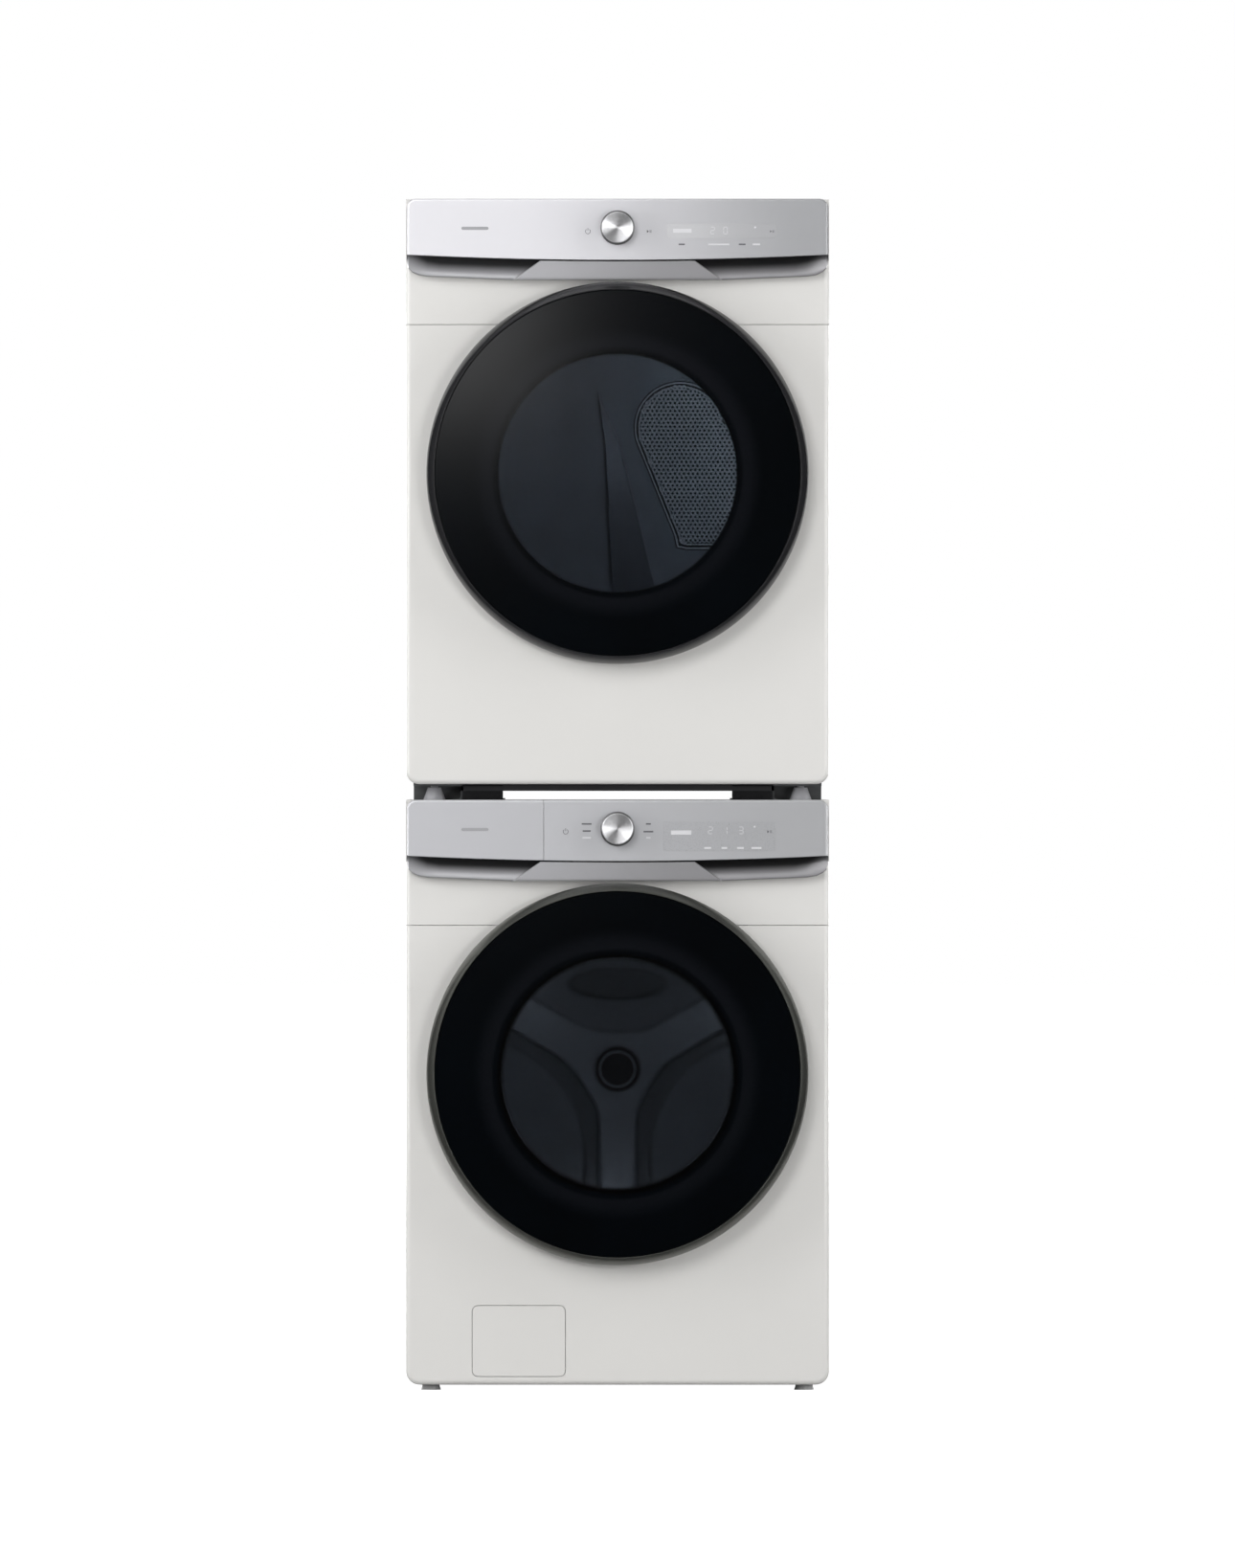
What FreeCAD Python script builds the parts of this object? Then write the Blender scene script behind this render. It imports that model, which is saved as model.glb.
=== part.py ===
import FreeCAD, Part
import math
import os
import re
import Sketcher
from FreeCAD import Placement, Rotation, Vector

# A 27 inch front-load washer with the matching dryer stacked on it, in millimetres.
# +Z is up, the doors face -Y and +X is to the viewer's right. The origin is on the floor
# under the middle of the whole object's box.
#
# Both cabinets share one outer design. Each piece is drawn in its own unit's frame:
# x from the middle of the cabinet, y inwards from the front sheet, z up from the cabinet's
# bottom edge. Each Unit knows how high above the floor that frame stands.

os.makedirs("parts", exist_ok=True)
doc = FreeCAD.newDocument("washer_dryer_stack")

# ---------------------------------------------------------------- driving dimensions

DIMENSIONS = {
    # the stack
    "half_width": 343.0,         # half the cabinet's width
    "cabinet_depth": 720.0,      # front sheet to rear sheet
    "cabinet_height": 948.5,     # bottom edge to the top of the control panel
    "foot_height": 9.0,          # washer's bottom edge above the floor
    "stack_gap": 25.5,           # washer's top to the dryer's bottom edge
    "door_reach": 46.0,          # how far a door stands out of the front sheet
    "rear_reach": 29.0,          # how far hose and duct fittings stand out behind
    # sheet metal
    "gauge": 1.2,
    "corner": 22.0,              # bottom corners, seen from the front
    "edge": 8.0,                 # bends between the front and the sides
    "wrap": 18.0,                # how far the front sheets wrap round the sides
    "seam": 745.0,               # joint between the lower and upper front sheets
    "seam_gap": 0.8,
    "pan_height": 28.0,
    "lid_height": 12.5,
    # control panel and the trim under it
    "panel_foot": 849.5,
    "panel_half": 341.0,
    "panel_reach": 22.0,
    "panel_wall": 2.5,
    "panel_bow": 8.5,            # the lower edge is this much higher at its ends
    "panel_corner": 14.0,
    "panel_edge": 3.5,           # rounding of the panel's front edges
    "trim_foot": 817.0,
    "trim_reach": 16.0,
    "wedge_reach": 20.0,
    "wedge_top": 123.0,          # half widths of the middle of the trim
    "wedge_foot": 170.0,
    "drawer_split": -119.5,      # x of the joint between drawer front and panel
    "knob_height": 901.5,
    "knob_radius": 26.5,
    "knob_reach": 41.0,
    # doors
    "door_height": 504.0,
    "door_radius": 309.5,
    "glass_radius": 296.5,
    "frame_hole": 206.0,         # hole in the door frame that the window bowl fills
    "throat": 230.0,             # round opening in the front sheet
    "hinge_x": -288.0,
    "hinge_out": 28.0,           # hinge axis in front of the front sheet
    "hinge_pin": 4.0,
    "hinge_arm": 40.0,           # arms above and below the door's middle
    "latch_x": 270.0,
    # washer works
    "tub_radius": 290.0,
    "tub_wall": 5.0,
    "tub_middle": 354.0,         # depth of the tub's springs and dampers
    "spring_x": 210.0,
    "damper_x": 165.0,
    "drum_radius": 272.0,
    "drum_wall": 1.6,
    "shaft_radius": 15.0,
    "running": 0.05,             # radial clearance of everything that turns on a pin
    # dryer works
    "dryer_drum": 318.0,
    "roller": 35.0,
    "roller_angle": 60.0,
    "blower_x": -110.0,
    "blower_height": 98.0,
    "wheel_radius": 60.0,
    "duct_radius": 50.8,
    "duct_x": 60.0,
    "pulley": 12.0,
    # filter bay and drawer
    "bay_left": -236.0,
    "bay_right": -84.0,
    "bay_foot": 13.0,
    "bay_head": 129.0,
    "filter_x": -160.0,
    "filter_height": 70.0,
    "filter_pin": 1.5,           # hinge pin of the filter door, across its back
    "filter_pin_in": 3.0,
    "filter_pin_height": 26.5,   # level with the top of the bay's lower corners
    "lint_half": 58.0,
    # fittings
    "inlet_height": 880.0,
    "gland_x": 240.0,
    "gland_height": 820.0,
    "foot_inset": 40.0,          # feet from the front sheet and from the rear sheet
    "washer_foot_x": 303.0,
    "dryer_foot_x": 297.0,
    "screw_x": 215.0,            # screws that hold the stacking rails
    "screw_radius": 3.0,
}

INLET_X = (-230, -170)
SCREW_DEPTHS = (120, 360, 600)
FOOT_DEPTHS = ("foot_inset", "cabinet_depth - foot_inset")
SIDES = (-1, 1)

sheet = doc.addObject("Spreadsheet::Sheet", "dims")
for row, (word, value) in enumerate(DIMENSIONS.items(), start=1):
    sheet.set("A%d" % row, word)
    sheet.set("B%d" % row, str(value))
    sheet.setAlias("B%d" % row, word)
DERIVED = {
    "front": "-(cabinet_depth + door_reach + rear_reach) / 2 + door_reach",
    "washer_base": "foot_height",
    "dryer_base": "foot_height + cabinet_height + stack_gap",
}
for row, (word, rule) in enumerate(DERIVED.items(), start=len(DIMENSIONS) + 1):
    sheet.set("A%d" % row, word)
    sheet.set("B%d" % row, "=" + rule)
    sheet.setAlias("B%d" % row, word)
doc.recompute()

WORDS = set(DIMENSIONS) | set(DERIVED)


def rule(text):
    """The text with each dimension's word turned into a reference to the sheet."""
    return re.sub(r"[a-z_]+", lambda found: "dims." + found.group()
                  if found.group() in WORDS else found.group(), str(text))


def value(text):
    """What a rule comes to now, as a plain number."""
    answer = sheet.evalExpression(rule(text))
    return float(getattr(answer, "Value", answer))


def bind(thing, settings):
    """Bind each named property of a document object to a rule over the sheet."""
    for name, text in settings.items():
        thing.setExpression(name, rule(text))


# ---------------------------------------------------------------- drawing helpers

NODES = []


def keep(thing, label):
    """Name a finished piece: it becomes one node."""
    thing.Label = label
    NODES.append(thing)
    return thing


def sketch_on(body, role, offset="0"):
    """A sketch on one of a body's own origin planes, moved off it by a rule."""
    sketch = body.newObject("Sketcher::SketchObject", body.Name + "_sketch")
    plane = [one for one in body.Origin.OriginFeatures if one.Role == role][0]
    sketch.AttachmentSupport = (plane, [""])
    sketch.MapMode = "FlatFace"
    bind(sketch, {"AttachmentOffset.Base.z": offset})
    return sketch


def outline(sketch, points):
    """A closed outline. A third value on a point bends the edge that leaves it: it is
    how far the edge bulges to its left."""
    spots = [Vector(value(point[0]), value(point[1]), 0) for point in points]
    first = sketch.GeometryCount
    for number, (point, start) in enumerate(zip(points, spots)):
        end = spots[(number + 1) % len(spots)]
        if len(point) == 2:
            sketch.addGeometry(Part.LineSegment(start, end))
            continue
        along = end - start
        left = Vector(-along.y, along.x, 0).normalize()
        middle = (start + end) * 0.5 + left * value(point[2])
        circle = Part.Arc(start, middle, end).toShape().Curve
        turns = [math.atan2(spot.y - circle.Center.y, spot.x - circle.Center.x)
                 for spot in (start, end)]
        if value(point[2]) > 0:
            turns.reverse()
        plain = Part.Circle(circle.Center, Vector(0, 0, 1), circle.Radius)
        sketch.addGeometry(Part.ArcOfCircle(plain, *turns))
        sketch.addConstraint(Sketcher.Constraint("Radius", first + number, circle.Radius))
    for number, point in enumerate(points):
        before = (number - 1) % len(points)
        begins = 2 if len(point) == 3 and value(point[2]) > 0 else 1
        arrives = 1 if len(points[before]) == 3 and value(points[before][2]) > 0 else 2
        sketch.addConstraint(Sketcher.Constraint(
            "Coincident", first + before, arrives, first + number, begins))
        for kind, text, start in (("DistanceX", point[0], spots[number].x),
                                  ("DistanceY", point[1], spots[number].y)):
            index = sketch.addConstraint(Sketcher.Constraint(
                kind, first + number, begins, start))
            if not isinstance(text, (int, float)):
                sketch.setExpression("Constraints[%d]" % index, rule(text))
    return sketch


def rectangle(sketch, left, right, low, high):
    return outline(sketch, [(left, low), (right, low), (right, high), (left, high)])


def circle(sketch, across, up, radius):
    index = sketch.addGeometry(Part.Circle(
        Vector(value(across), value(up), 0), Vector(0, 0, 1), value(radius)))
    for kind, text in (("DistanceX", across), ("DistanceY", up)):
        number = sketch.addConstraint(Sketcher.Constraint(kind, index, 3, value(text)))
        sketch.setExpression("Constraints[%d]" % number, rule(text))
    number = sketch.addConstraint(Sketcher.Constraint("Radius", index, value(radius)))
    sketch.setExpression("Constraints[%d]" % number, rule(radius))
    return sketch


def feature(body, kind, sketch, settings=None, **fixed):
    made = body.newObject("PartDesign::" + kind, body.Name + "_" + kind)
    if sketch is not None:
        made.Profile = sketch
    for name, setting in fixed.items():
        setattr(made, name, setting)
    bind(made, settings or {})
    doc.recompute()
    return made


def pad(body, sketch, length, inwards=True):
    return feature(body, "Pad", sketch, {"Length": length}, Reversed=inwards)


def pocket(body, sketch, length, inwards=True):
    """Cut a sketch into the solid, and stop if nothing was cut."""
    before = body.Shape.Volume
    made = feature(body, "Pocket", sketch, {"Length": length}, Reversed=not inwards)
    if body.Shape.Volume > before - 1e-3:
        raise RuntimeError("%s: a pocket cut nothing" % body.Name)
    return made


def edges_where(shape, test):
    """Names of the edges whose two ends and middle all pass a test of their place."""
    names = []
    for number, edge in enumerate(shape.Edges, start=1):
        spots = [edge.valueAt(edge.FirstParameter), edge.valueAt(edge.LastParameter),
                 edge.valueAt((edge.FirstParameter + edge.LastParameter) / 2)]
        if all(test(spot) for spot in spots):
            names.append("Edge%d" % number)
    return names


def near(one, other):
    return abs(one - other) < 0.02


def round_edges(body, radius, test):
    base = body.Tip
    return feature(body, "Fillet", None, {"Radius": radius},
                   Base=(base, edges_where(base.Shape, test)))


def hollow(body, wall, test):
    """Leave a shell of one wall, open at the faces whose middles pass the test."""
    base = body.Tip
    faces = ["Face%d" % number for number, face in enumerate(base.Shape.Faces, start=1)
             if test(face.CenterOfMass)]
    return feature(body, "Thickness", None, {"Value": wall}, Base=(base, faces),
                   Reversed=True, Join=1)


class Unit:
    """One cabinet: its own frame, and the pieces that are drawn in it."""

    def __init__(self, name):
        self.name = name
        self.base = name + "_base"

    def body(self, piece, across="0", height="0", depth="0"):
        """An empty body whose own origin is at a place in the unit's frame."""
        made = doc.addObject("PartDesign::Body", "%s_%s" % (self.name, piece))
        bind(made, {"Placement.Base.x": across,
                    "Placement.Base.y": "front + (%s)" % depth,
                    "Placement.Base.z": "%s + (%s)" % (self.base, height)})
        return keep(made, "%s_%s" % (self.name, piece))

    def turned(self, piece, profile, across="0", height="door_height"):
        """A body turned about a line along Y. The profile's points are (y, radius)."""
        made = self.body(piece, across, height)
        self.turn(made, profile)
        return made

    def turn(self, body, profile):
        sketch = outline(sketch_on(body, "YZ_Plane"), profile)
        feature(body, "Revolution", sketch, ReferenceAxis=(sketch, ["H_Axis"]), Angle=360)

    def box(self, across, depth, height):
        """A plain box between two rules each way."""
        made = doc.addObject("Part::Box", self.name + "_box")
        bind(made, {"Length": "(%s) - (%s)" % (across[1], across[0]),
                    "Width": "(%s) - (%s)" % (depth[1], depth[0]),
                    "Height": "(%s) - (%s)" % (height[1], height[0]),
                    "Placement.Base.x": across[0],
                    "Placement.Base.y": "front + (%s)" % depth[0],
                    "Placement.Base.z": "%s + (%s)" % (self.base, height[0])})
        return made

    def rod(self, radius, across, depth, height):
        """A cylinder along Y, between two rules for its depth."""
        made = doc.addObject("Part::Cylinder", self.name + "_rod")
        made.Placement = Placement(Vector(), Rotation(Vector(1, 0, 0), -90))
        bind(made, {"Radius": radius, "Height": "(%s) - (%s)" % (depth[1], depth[0]),
                    "Placement.Base.x": across,
                    "Placement.Base.y": "front + (%s)" % depth[0],
                    "Placement.Base.z": "%s + (%s)" % (self.base, height)})
        return made

    def post(self, radius, across, depth, height, top=None):
        """An upright cylinder, or a cone when it has a top radius."""
        made = doc.addObject("Part::Cone" if top else "Part::Cylinder", self.name + "_post")
        sizes = {"Radius1": radius, "Radius2": top} if top else {"Radius": radius}
        bind(made, dict(sizes, Height="(%s) - (%s)" % (height[1], height[0]), **{
            "Placement.Base.x": across,
            "Placement.Base.y": "front + (%s)" % depth,
            "Placement.Base.z": "%s + (%s)" % (self.base, height[0])}))
        return made

    def fuse(self, pieces):
        made = doc.addObject("Part::MultiFuse", self.name + "_fuse")
        made.Shapes = pieces
        return made

    def cut(self, solid, tools):
        made = doc.addObject("Part::Cut", self.name + "_cut")
        made.Base = solid
        made.Tool = tools[0] if len(tools) == 1 else self.fuse(tools)
        return made

    def group(self, pieces):
        """Separate solids that share one node."""
        made = doc.addObject("Part::Compound", self.name + "_group")
        made.Links = pieces
        return made

    def keep(self, thing, piece):
        return keep(thing, "%s_%s" % (self.name, piece))


washer = Unit("washer")
dryer = Unit("dryer")


# ---------------------------------------------------------------- cabinet

def base_pan(unit):
    """Pressed tray that the works stand on. The dryer's has a deeper middle."""
    body = unit.body("base_pan")
    pad(body, rectangle(sketch_on(body, "XY_Plane"), "-half_width", "half_width",
                        "wrap + 0.5", "cabinet_depth - gauge"), "pan_height", inwards=False)
    side = value("half_width")
    round_edges(body, "corner", lambda spot: near(abs(spot.x), side) and near(spot.z, 0))
    hollow(body, "2 * gauge", lambda spot: near(spot.z, value("pan_height")))
    if unit is dryer:
        pad(body, rectangle(sketch_on(body, "XY_Plane"), -250, 250, 24,
                            "cabinet_depth - 24"), 11)
        room = rectangle(sketch_on(body, "XY_Plane", "2 * gauge + 1"), "-250 + 2 * gauge",
                         "250 - 2 * gauge", "24 + 2 * gauge", "cabinet_depth - 24 - 2 * gauge")
        pocket(body, room, 12)
    holes = sketch_on(body, "XY_Plane")
    for side in SIDES:
        for depth in FOOT_DEPTHS:
            circle(holes, "%d * %s_foot_x" % (side, unit.name), depth, 6.2)
    pocket(body, holes, 5, inwards=False)


def side_panel(unit, side):
    """Outer sheet of one side, with a folded flange down its front and rear edges."""
    outer = "%d * half_width" % side
    inner = "%d * (half_width - gauge)" % side
    fold = "%d * (half_width - 13)" % side
    order = (lambda one, two: (two, one)) if side > 0 else (lambda one, two: (one, two))
    front_edge = "wrap + 0.5"
    back_edge = "cabinet_depth - gauge"
    head = "cabinet_height - lid_height"
    wall = unit.box(order(outer, inner), (front_edge, back_edge), ("pan_height", head))
    front = unit.box(order(outer, fold), (front_edge, front_edge + " + gauge"),
                     ("pan_height", "panel_foot - 2"))
    rear = unit.box(order(outer, fold), (back_edge + " - gauge", back_edge),
                    ("pan_height", head))
    unit.keep(unit.fuse([wall, front, rear]),
              "side_panel_right" if side > 0 else "side_panel_left")


def top_plate(unit):
    """Shallow lid with rounded edges, behind the control panel."""
    body = unit.body("top_plate", height="cabinet_height - lid_height")
    pad(body, rectangle(sketch_on(body, "XY_Plane"), "-half_width", "half_width", 17,
                        "cabinet_depth"), "lid_height", inwards=False)
    side, back, head = value("half_width"), value("cabinet_depth"), value("lid_height")
    round_edges(body, 5, lambda spot: near(spot.z, head) and not near(spot.y, 17))
    hollow(body, "gauge", lambda spot: near(spot.z, 0))
    if unit is washer:
        holes = sketch_on(body, "XY_Plane")
        for side in SIDES:
            for depth in SCREW_DEPTHS:
                circle(holes, "%d * screw_x" % side, depth, "screw_radius + running")
        pocket(body, holes, 40, inwards=False)


def rear_panel(unit):
    """Flat sheet with the openings for the fittings that pass through it."""
    body = unit.body("rear_panel", depth="cabinet_depth")
    sketch = rectangle(sketch_on(body, "XZ_Plane"), "-half_width + 3", "half_width - 3",
                       "pan_height", "cabinet_height - lid_height")
    if unit is washer:
        for across in INLET_X:
            circle(sketch, across, "inlet_height", 16)
    else:
        circle(sketch, "duct_x", "blower_height", "duct_radius + 3")
    pad(body, sketch, "gauge", inwards=False)
    gland = circle(sketch_on(body, "XZ_Plane"), "gland_x", "gland_height", 13)
    pad(body, gland, 8)
    bore = circle(sketch_on(body, "XZ_Plane", "-8"), "gland_x", "gland_height", 4.5)
    pocket(body, bore, 6, inwards=False)


def front_sheet(unit, piece, foot, head, rounded):
    """A front sheet that wraps round both sides; a rounded one has the bottom corners."""
    body = unit.body(piece)
    pad(body, rectangle(sketch_on(body, "XZ_Plane"), "-half_width", "half_width", foot, head),
        "wrap")
    side, low, high = value("half_width"), value(foot), value(head)
    if rounded:
        round_edges(body, "corner", lambda spot: near(abs(spot.x), side) and near(spot.z, low))
        round_edges(body, "edge", lambda spot: near(spot.y, 0) and not near(spot.z, high))
    else:
        round_edges(body, "edge", lambda spot: near(spot.y, 0) and near(abs(spot.x), side))
    hollow(body, "gauge", lambda spot: near(spot.y, value("wrap")))
    return body


def front_panel(unit):
    """Lower front sheet: round opening, hinge and latch slots, and the washer's filter bay."""
    body = front_sheet(unit, "front_panel", "0", "seam - seam_gap / 2", True)
    holes = circle(sketch_on(body, "XZ_Plane"), 0, "door_height", "throat")
    for side in SIDES:
        middle = "door_height + %d * hinge_arm" % side
        rectangle(holes, "hinge_x + 10", "hinge_x + 44", middle + " - 7", middle + " + 7")
    if unit is washer:
        rectangle(holes, "latch_x - 9", "latch_x + 9", "door_height - 14", "door_height + 14")
    pocket(body, holes, 6)
    if unit is washer:
        bay = rectangle(sketch_on(body, "XZ_Plane"), "bay_left", "bay_right", "bay_foot",
                        "bay_head")
        pocket(body, bay, 6)
        uprights = value("bay_left"), value("bay_right")
        round_edges(body, 10, lambda spot: (
            any(near(spot.x, one) for one in uprights)
            and (near(spot.z, value("bay_foot")) or near(spot.z, value("bay_head")))
            and spot.y < 3))
        filter_door_ears(body)


def filter_door_ears(body):
    """Two ears behind the sheet that hold the ends of the filter door's hinge pin."""
    ears = sketch_on(body, "XY_Plane", "filter_pin_height - 5")
    for left in ("bay_left - 8", "bay_right + 4"):
        rectangle(ears, left, left + " + 4", "gauge / 2", "filter_pin_in + 4")
    pad(body, ears, 10, inwards=False)
    bore = circle(sketch_on(body, "YZ_Plane", "bay_left - 10"), "filter_pin_in",
                  "filter_pin_height", "filter_pin + running")
    feature(body, "Pocket", bore, {"Length": "bay_right - bay_left + 20"}, Reversed=True)


def front_header(unit):
    """Upper front sheet, between the seam and the control panel."""
    front_sheet(unit, "front_header", "seam + seam_gap / 2", "panel_foot - 1", False)


def panel_outline(left, right, corners, inset):
    """Face of the panel between two ends, seen from the front, drawn in by an inset."""
    foot = "panel_foot + panel_bow * (%s) * (%s) / (panel_half * panel_half) + %s"
    head = "cabinet_height - %s" % inset
    radius = "(panel_corner - %s)" % inset
    span = value("(%s) - (%s)" % (right, left))
    bow = -value("panel_bow") * (span / (2 * value("panel_half"))) ** 2
    points = [("%s + %s" % (left, inset), foot % (left, left, inset), bow),
              ("%s - %s" % (right, inset), foot % (right, right, inset))]
    for end, inwards in ((right, -1), (left, 1)):
        edge = "%s + %d * %s" % (end, inwards, inset)
        if end not in corners:
            points.append((edge, head))
            continue
        turn = [(edge, "%s - %s" % (head, radius)),
                ("%s + %d * %s" % (edge, inwards, radius), head)]
        if inwards > 0:
            turn.reverse()
        points += [turn[0] + (-0.2929 * value(radius),), turn[1]]
    return points


def panel_sheet(unit, piece, left, right, corners):
    """Control panel moulding between two ends: flat face rounded at the top and the sides,
    bowed lower edge, open back."""
    body = unit.body(piece)
    face = outline(sketch_on(body, "XZ_Plane", "panel_reach"),
                   panel_outline(left, right, corners, "0"))
    pad(body, face, "panel_reach + 16")
    front, joint, foot = -value("panel_reach"), value("drawer_split"), value("panel_foot")
    round_edges(body, "panel_edge", lambda spot: (
        near(spot.y, front) and abs(spot.x - joint) > 1 and spot.z > foot + 12))
    room = outline(sketch_on(body, "XZ_Plane", "panel_reach - panel_wall"),
                   panel_outline(left, right, corners, "panel_wall"))
    pocket(body, room, "panel_reach + 16")
    return body


def control_panel(unit):
    """Fixed part of the panel, with the hole for the knob's spindle."""
    left = "drawer_split + seam_gap / 2" if unit is washer else "-panel_half"
    body = panel_sheet(unit, "control_panel", left, "panel_half",
                       ["panel_half"] if unit is washer else ["-panel_half", "panel_half"])
    hole = circle(sketch_on(body, "XZ_Plane", "panel_reach"), 0, "knob_height", "3 + running")
    pocket(body, hole, 6)


def handle_trim(unit):
    """Strip under the panel: two scooped finger grips either side of a flat wedge."""
    body = unit.body("handle_trim")
    bow = "panel_foot + panel_bow - 0.6"
    sketch = outline(sketch_on(body, "XZ_Plane"), [
        ("-panel_half", "trim_foot + 18"),
        ("-panel_half + 24", "trim_foot + 4"),
        ("-wedge_foot", "trim_foot"), ("wedge_foot", "trim_foot"),
        ("panel_half - 24", "trim_foot + 4"),
        ("panel_half", "trim_foot + 18"),
        ("panel_half", bow, "panel_bow"), ("-panel_half", bow)])
    pad(body, sketch, "trim_reach", inwards=False)
    scoop = circle(sketch_on(body, "YZ_Plane", "-panel_half - 5"), -30, "panel_foot + 2", 26)
    feature(body, "Pocket", scoop, {"Length": "2 * panel_half + 10"}, Reversed=True)
    wedge = outline(sketch_on(body, "XZ_Plane"), [
        ("-wedge_foot", "trim_foot"), ("wedge_foot", "trim_foot"),
        ("wedge_top", "panel_foot - 0.6"), ("-wedge_top", "panel_foot - 0.6")])
    pad(body, wedge, "wedge_reach", inwards=False)


def knob(unit):
    """Turned cycle knob with a shallow cone face, on its own spindle."""
    unit.turned("knob", [
        ("10", "0"), ("10", "3"), ("-panel_reach - 0.4", "3"),
        ("-panel_reach - 0.4", "knob_radius - 1"),
        ("-knob_reach + 3", "knob_radius"), ("-knob_reach", "knob_radius - 2.2"),
        ("-knob_reach + 0.6", "knob_radius - 3.4"), ("-knob_reach + 2.2", "0")],
        height="knob_height")


# ---------------------------------------------------------------- doors

def door_ring(unit):
    """Door frame: bulged outer wall, back plate, and the lug that turns on the pin."""
    body = unit.turned("door_ring", [
        ("-3", "frame_hole"), ("-3", "door_radius - 14"), ("-12", "door_radius - 4", -1),
        ("-26", "door_radius", -1.5), ("-door_reach + 1.5", "glass_radius + 2"),
        ("-door_reach + 1.5", "glass_radius + 0.3"), ("-door_reach + 5", "glass_radius + 0.3"),
        ("-door_reach + 5", "glass_radius - 6"), ("-door_reach + 8", "glass_radius - 6"),
        ("-26", "door_radius - 5"), ("-14", "door_radius - 8"), ("-6", "door_radius - 17"),
        ("-6", "frame_hole")])
    notches = sketch_on(body, "XZ_Plane", "hinge_out - 2")
    for side in SIDES:
        middle = "%d * hinge_arm" % side
        rectangle(notches, "-door_radius - 10", "hinge_x + 40", middle + " - 8", middle + " + 8")
    pocket(body, notches, 40)
    lug = rectangle(sketch_on(body, "XY_Plane", "-30"), "hinge_x - 9", "hinge_x + 9",
                    "-hinge_out - 9", -5)
    pad(body, lug, 60, inwards=False)
    bore = circle(sketch_on(body, "XY_Plane", "-31"), "hinge_x", "-hinge_out",
                  "hinge_pin + running")
    pocket(body, bore, 62, inwards=False)


def door_glass(unit):
    """Outer glass, slightly domed, set into the front of the frame."""
    unit.turned("door_glass", [
        ("-door_reach + 5", "0"), ("-door_reach + 5", "glass_radius"),
        ("-door_reach + 1.8", "glass_radius"), ("-door_reach + 1.2", "glass_radius - 1", 1.1),
        ("-door_reach", "0")])


def door_window(unit):
    """Inner glass: a deep bowl in the washer, a shallow dish in the dryer."""
    if unit is washer:
        unit.turned("door_window", [
            ("-12", "frame_hole - 8"), ("-12", "frame_hole + 14"), ("-6", "frame_hole + 14"),
            ("-6", "frame_hole - 2"), ("0", "frame_hole - 4"), ("60", "188"), ("96", "160"),
            ("104", "140"), ("104", "0"), ("98.5", "0"), ("98.5", "138"), ("92", "155"),
            ("57", "182.5"), ("0", "197")])
    else:
        unit.turned("door_window", [
            ("-12", "frame_hole - 8"), ("-12", "frame_hole + 14"), ("-6", "frame_hole + 14"),
            ("-6", "frame_hole - 2"), ("0", "frame_hole - 4"), ("34", "194"), ("46", "180"),
            ("46", "0"), ("41", "0"), ("41", "177"), ("31", "189"), ("0", "197")])


def door_hinge(unit):
    """Plate behind the front sheet with two slanted arms that carry the pin."""
    body = unit.body("door_hinge", height="door_height")
    pad(body, rectangle(sketch_on(body, "XZ_Plane", "-gauge - 0.1"), "hinge_x + 4",
                        "hinge_x + 40", -72, 72), 3)
    for side in SIDES:
        level = "%d * hinge_arm - 4" % side
        arm = outline(sketch_on(body, "XY_Plane", level), [
            ("hinge_x - 3.5", "-hinge_out + 3.5"), ("hinge_x + 3.5", "-hinge_out - 3.5"),
            ("hinge_x + 38", -1), ("hinge_x + 38", 3), ("hinge_x + 27.5", 3)])
        pad(body, arm, 8, inwards=False)
        eye = circle(sketch_on(body, "XY_Plane", level), "hinge_x", "-hinge_out", 6.8)
        pad(body, eye, 8, inwards=False)
    pin = circle(sketch_on(body, "XY_Plane", "-hinge_arm - 6"), "hinge_x", "-hinge_out",
                 "hinge_pin")
    pad(body, pin, "2 * hinge_arm + 12", inwards=False)


def door_latch():
    """Hook on the washer door that the lock behind the front sheet takes hold of."""
    body = washer.body("door_latch", height="door_height")
    stem = outline(sketch_on(body, "XY_Plane", "-8"), [
        ("latch_x - 4", -3), ("latch_x + 4", -3), ("latch_x + 4", 22), ("latch_x - 1", 28),
        ("latch_x - 5", 20), ("latch_x", 16)])
    pad(body, stem, 16, inwards=False)


# ---------------------------------------------------------------- washer works

def detergent_drawer():
    """Drawer front, the tray behind it, and the housing that the tray slides in."""
    panel_sheet(washer, "drawer_front", "-panel_half", "drawer_split - seam_gap / 2",
                ["-panel_half"])
    tray = washer.body("drawer_tray")
    pad(tray, rectangle(sketch_on(tray, "XY_Plane", "868"), -318, -142,
                        "-panel_reach + panel_wall", 250), 58, inwards=False)
    cups = sketch_on(tray, "XY_Plane", "930")
    rectangle(cups, -315, -262, 20, 160)
    rectangle(cups, -315, -262, 164, 246)
    rectangle(cups, -258, -206, 20, 246)
    rectangle(cups, -202, -145, 20, 246)
    feature(tray, "Pocket", cups, {"Length": "58"})
    sleeve = washer.box((-324, -136), (24, 330), (861, 935))
    inside = washer.box((-321, -139), (20, 326), (864, 932))
    washer.keep(washer.cut(sleeve, [inside]), "drawer_housing")


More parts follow.
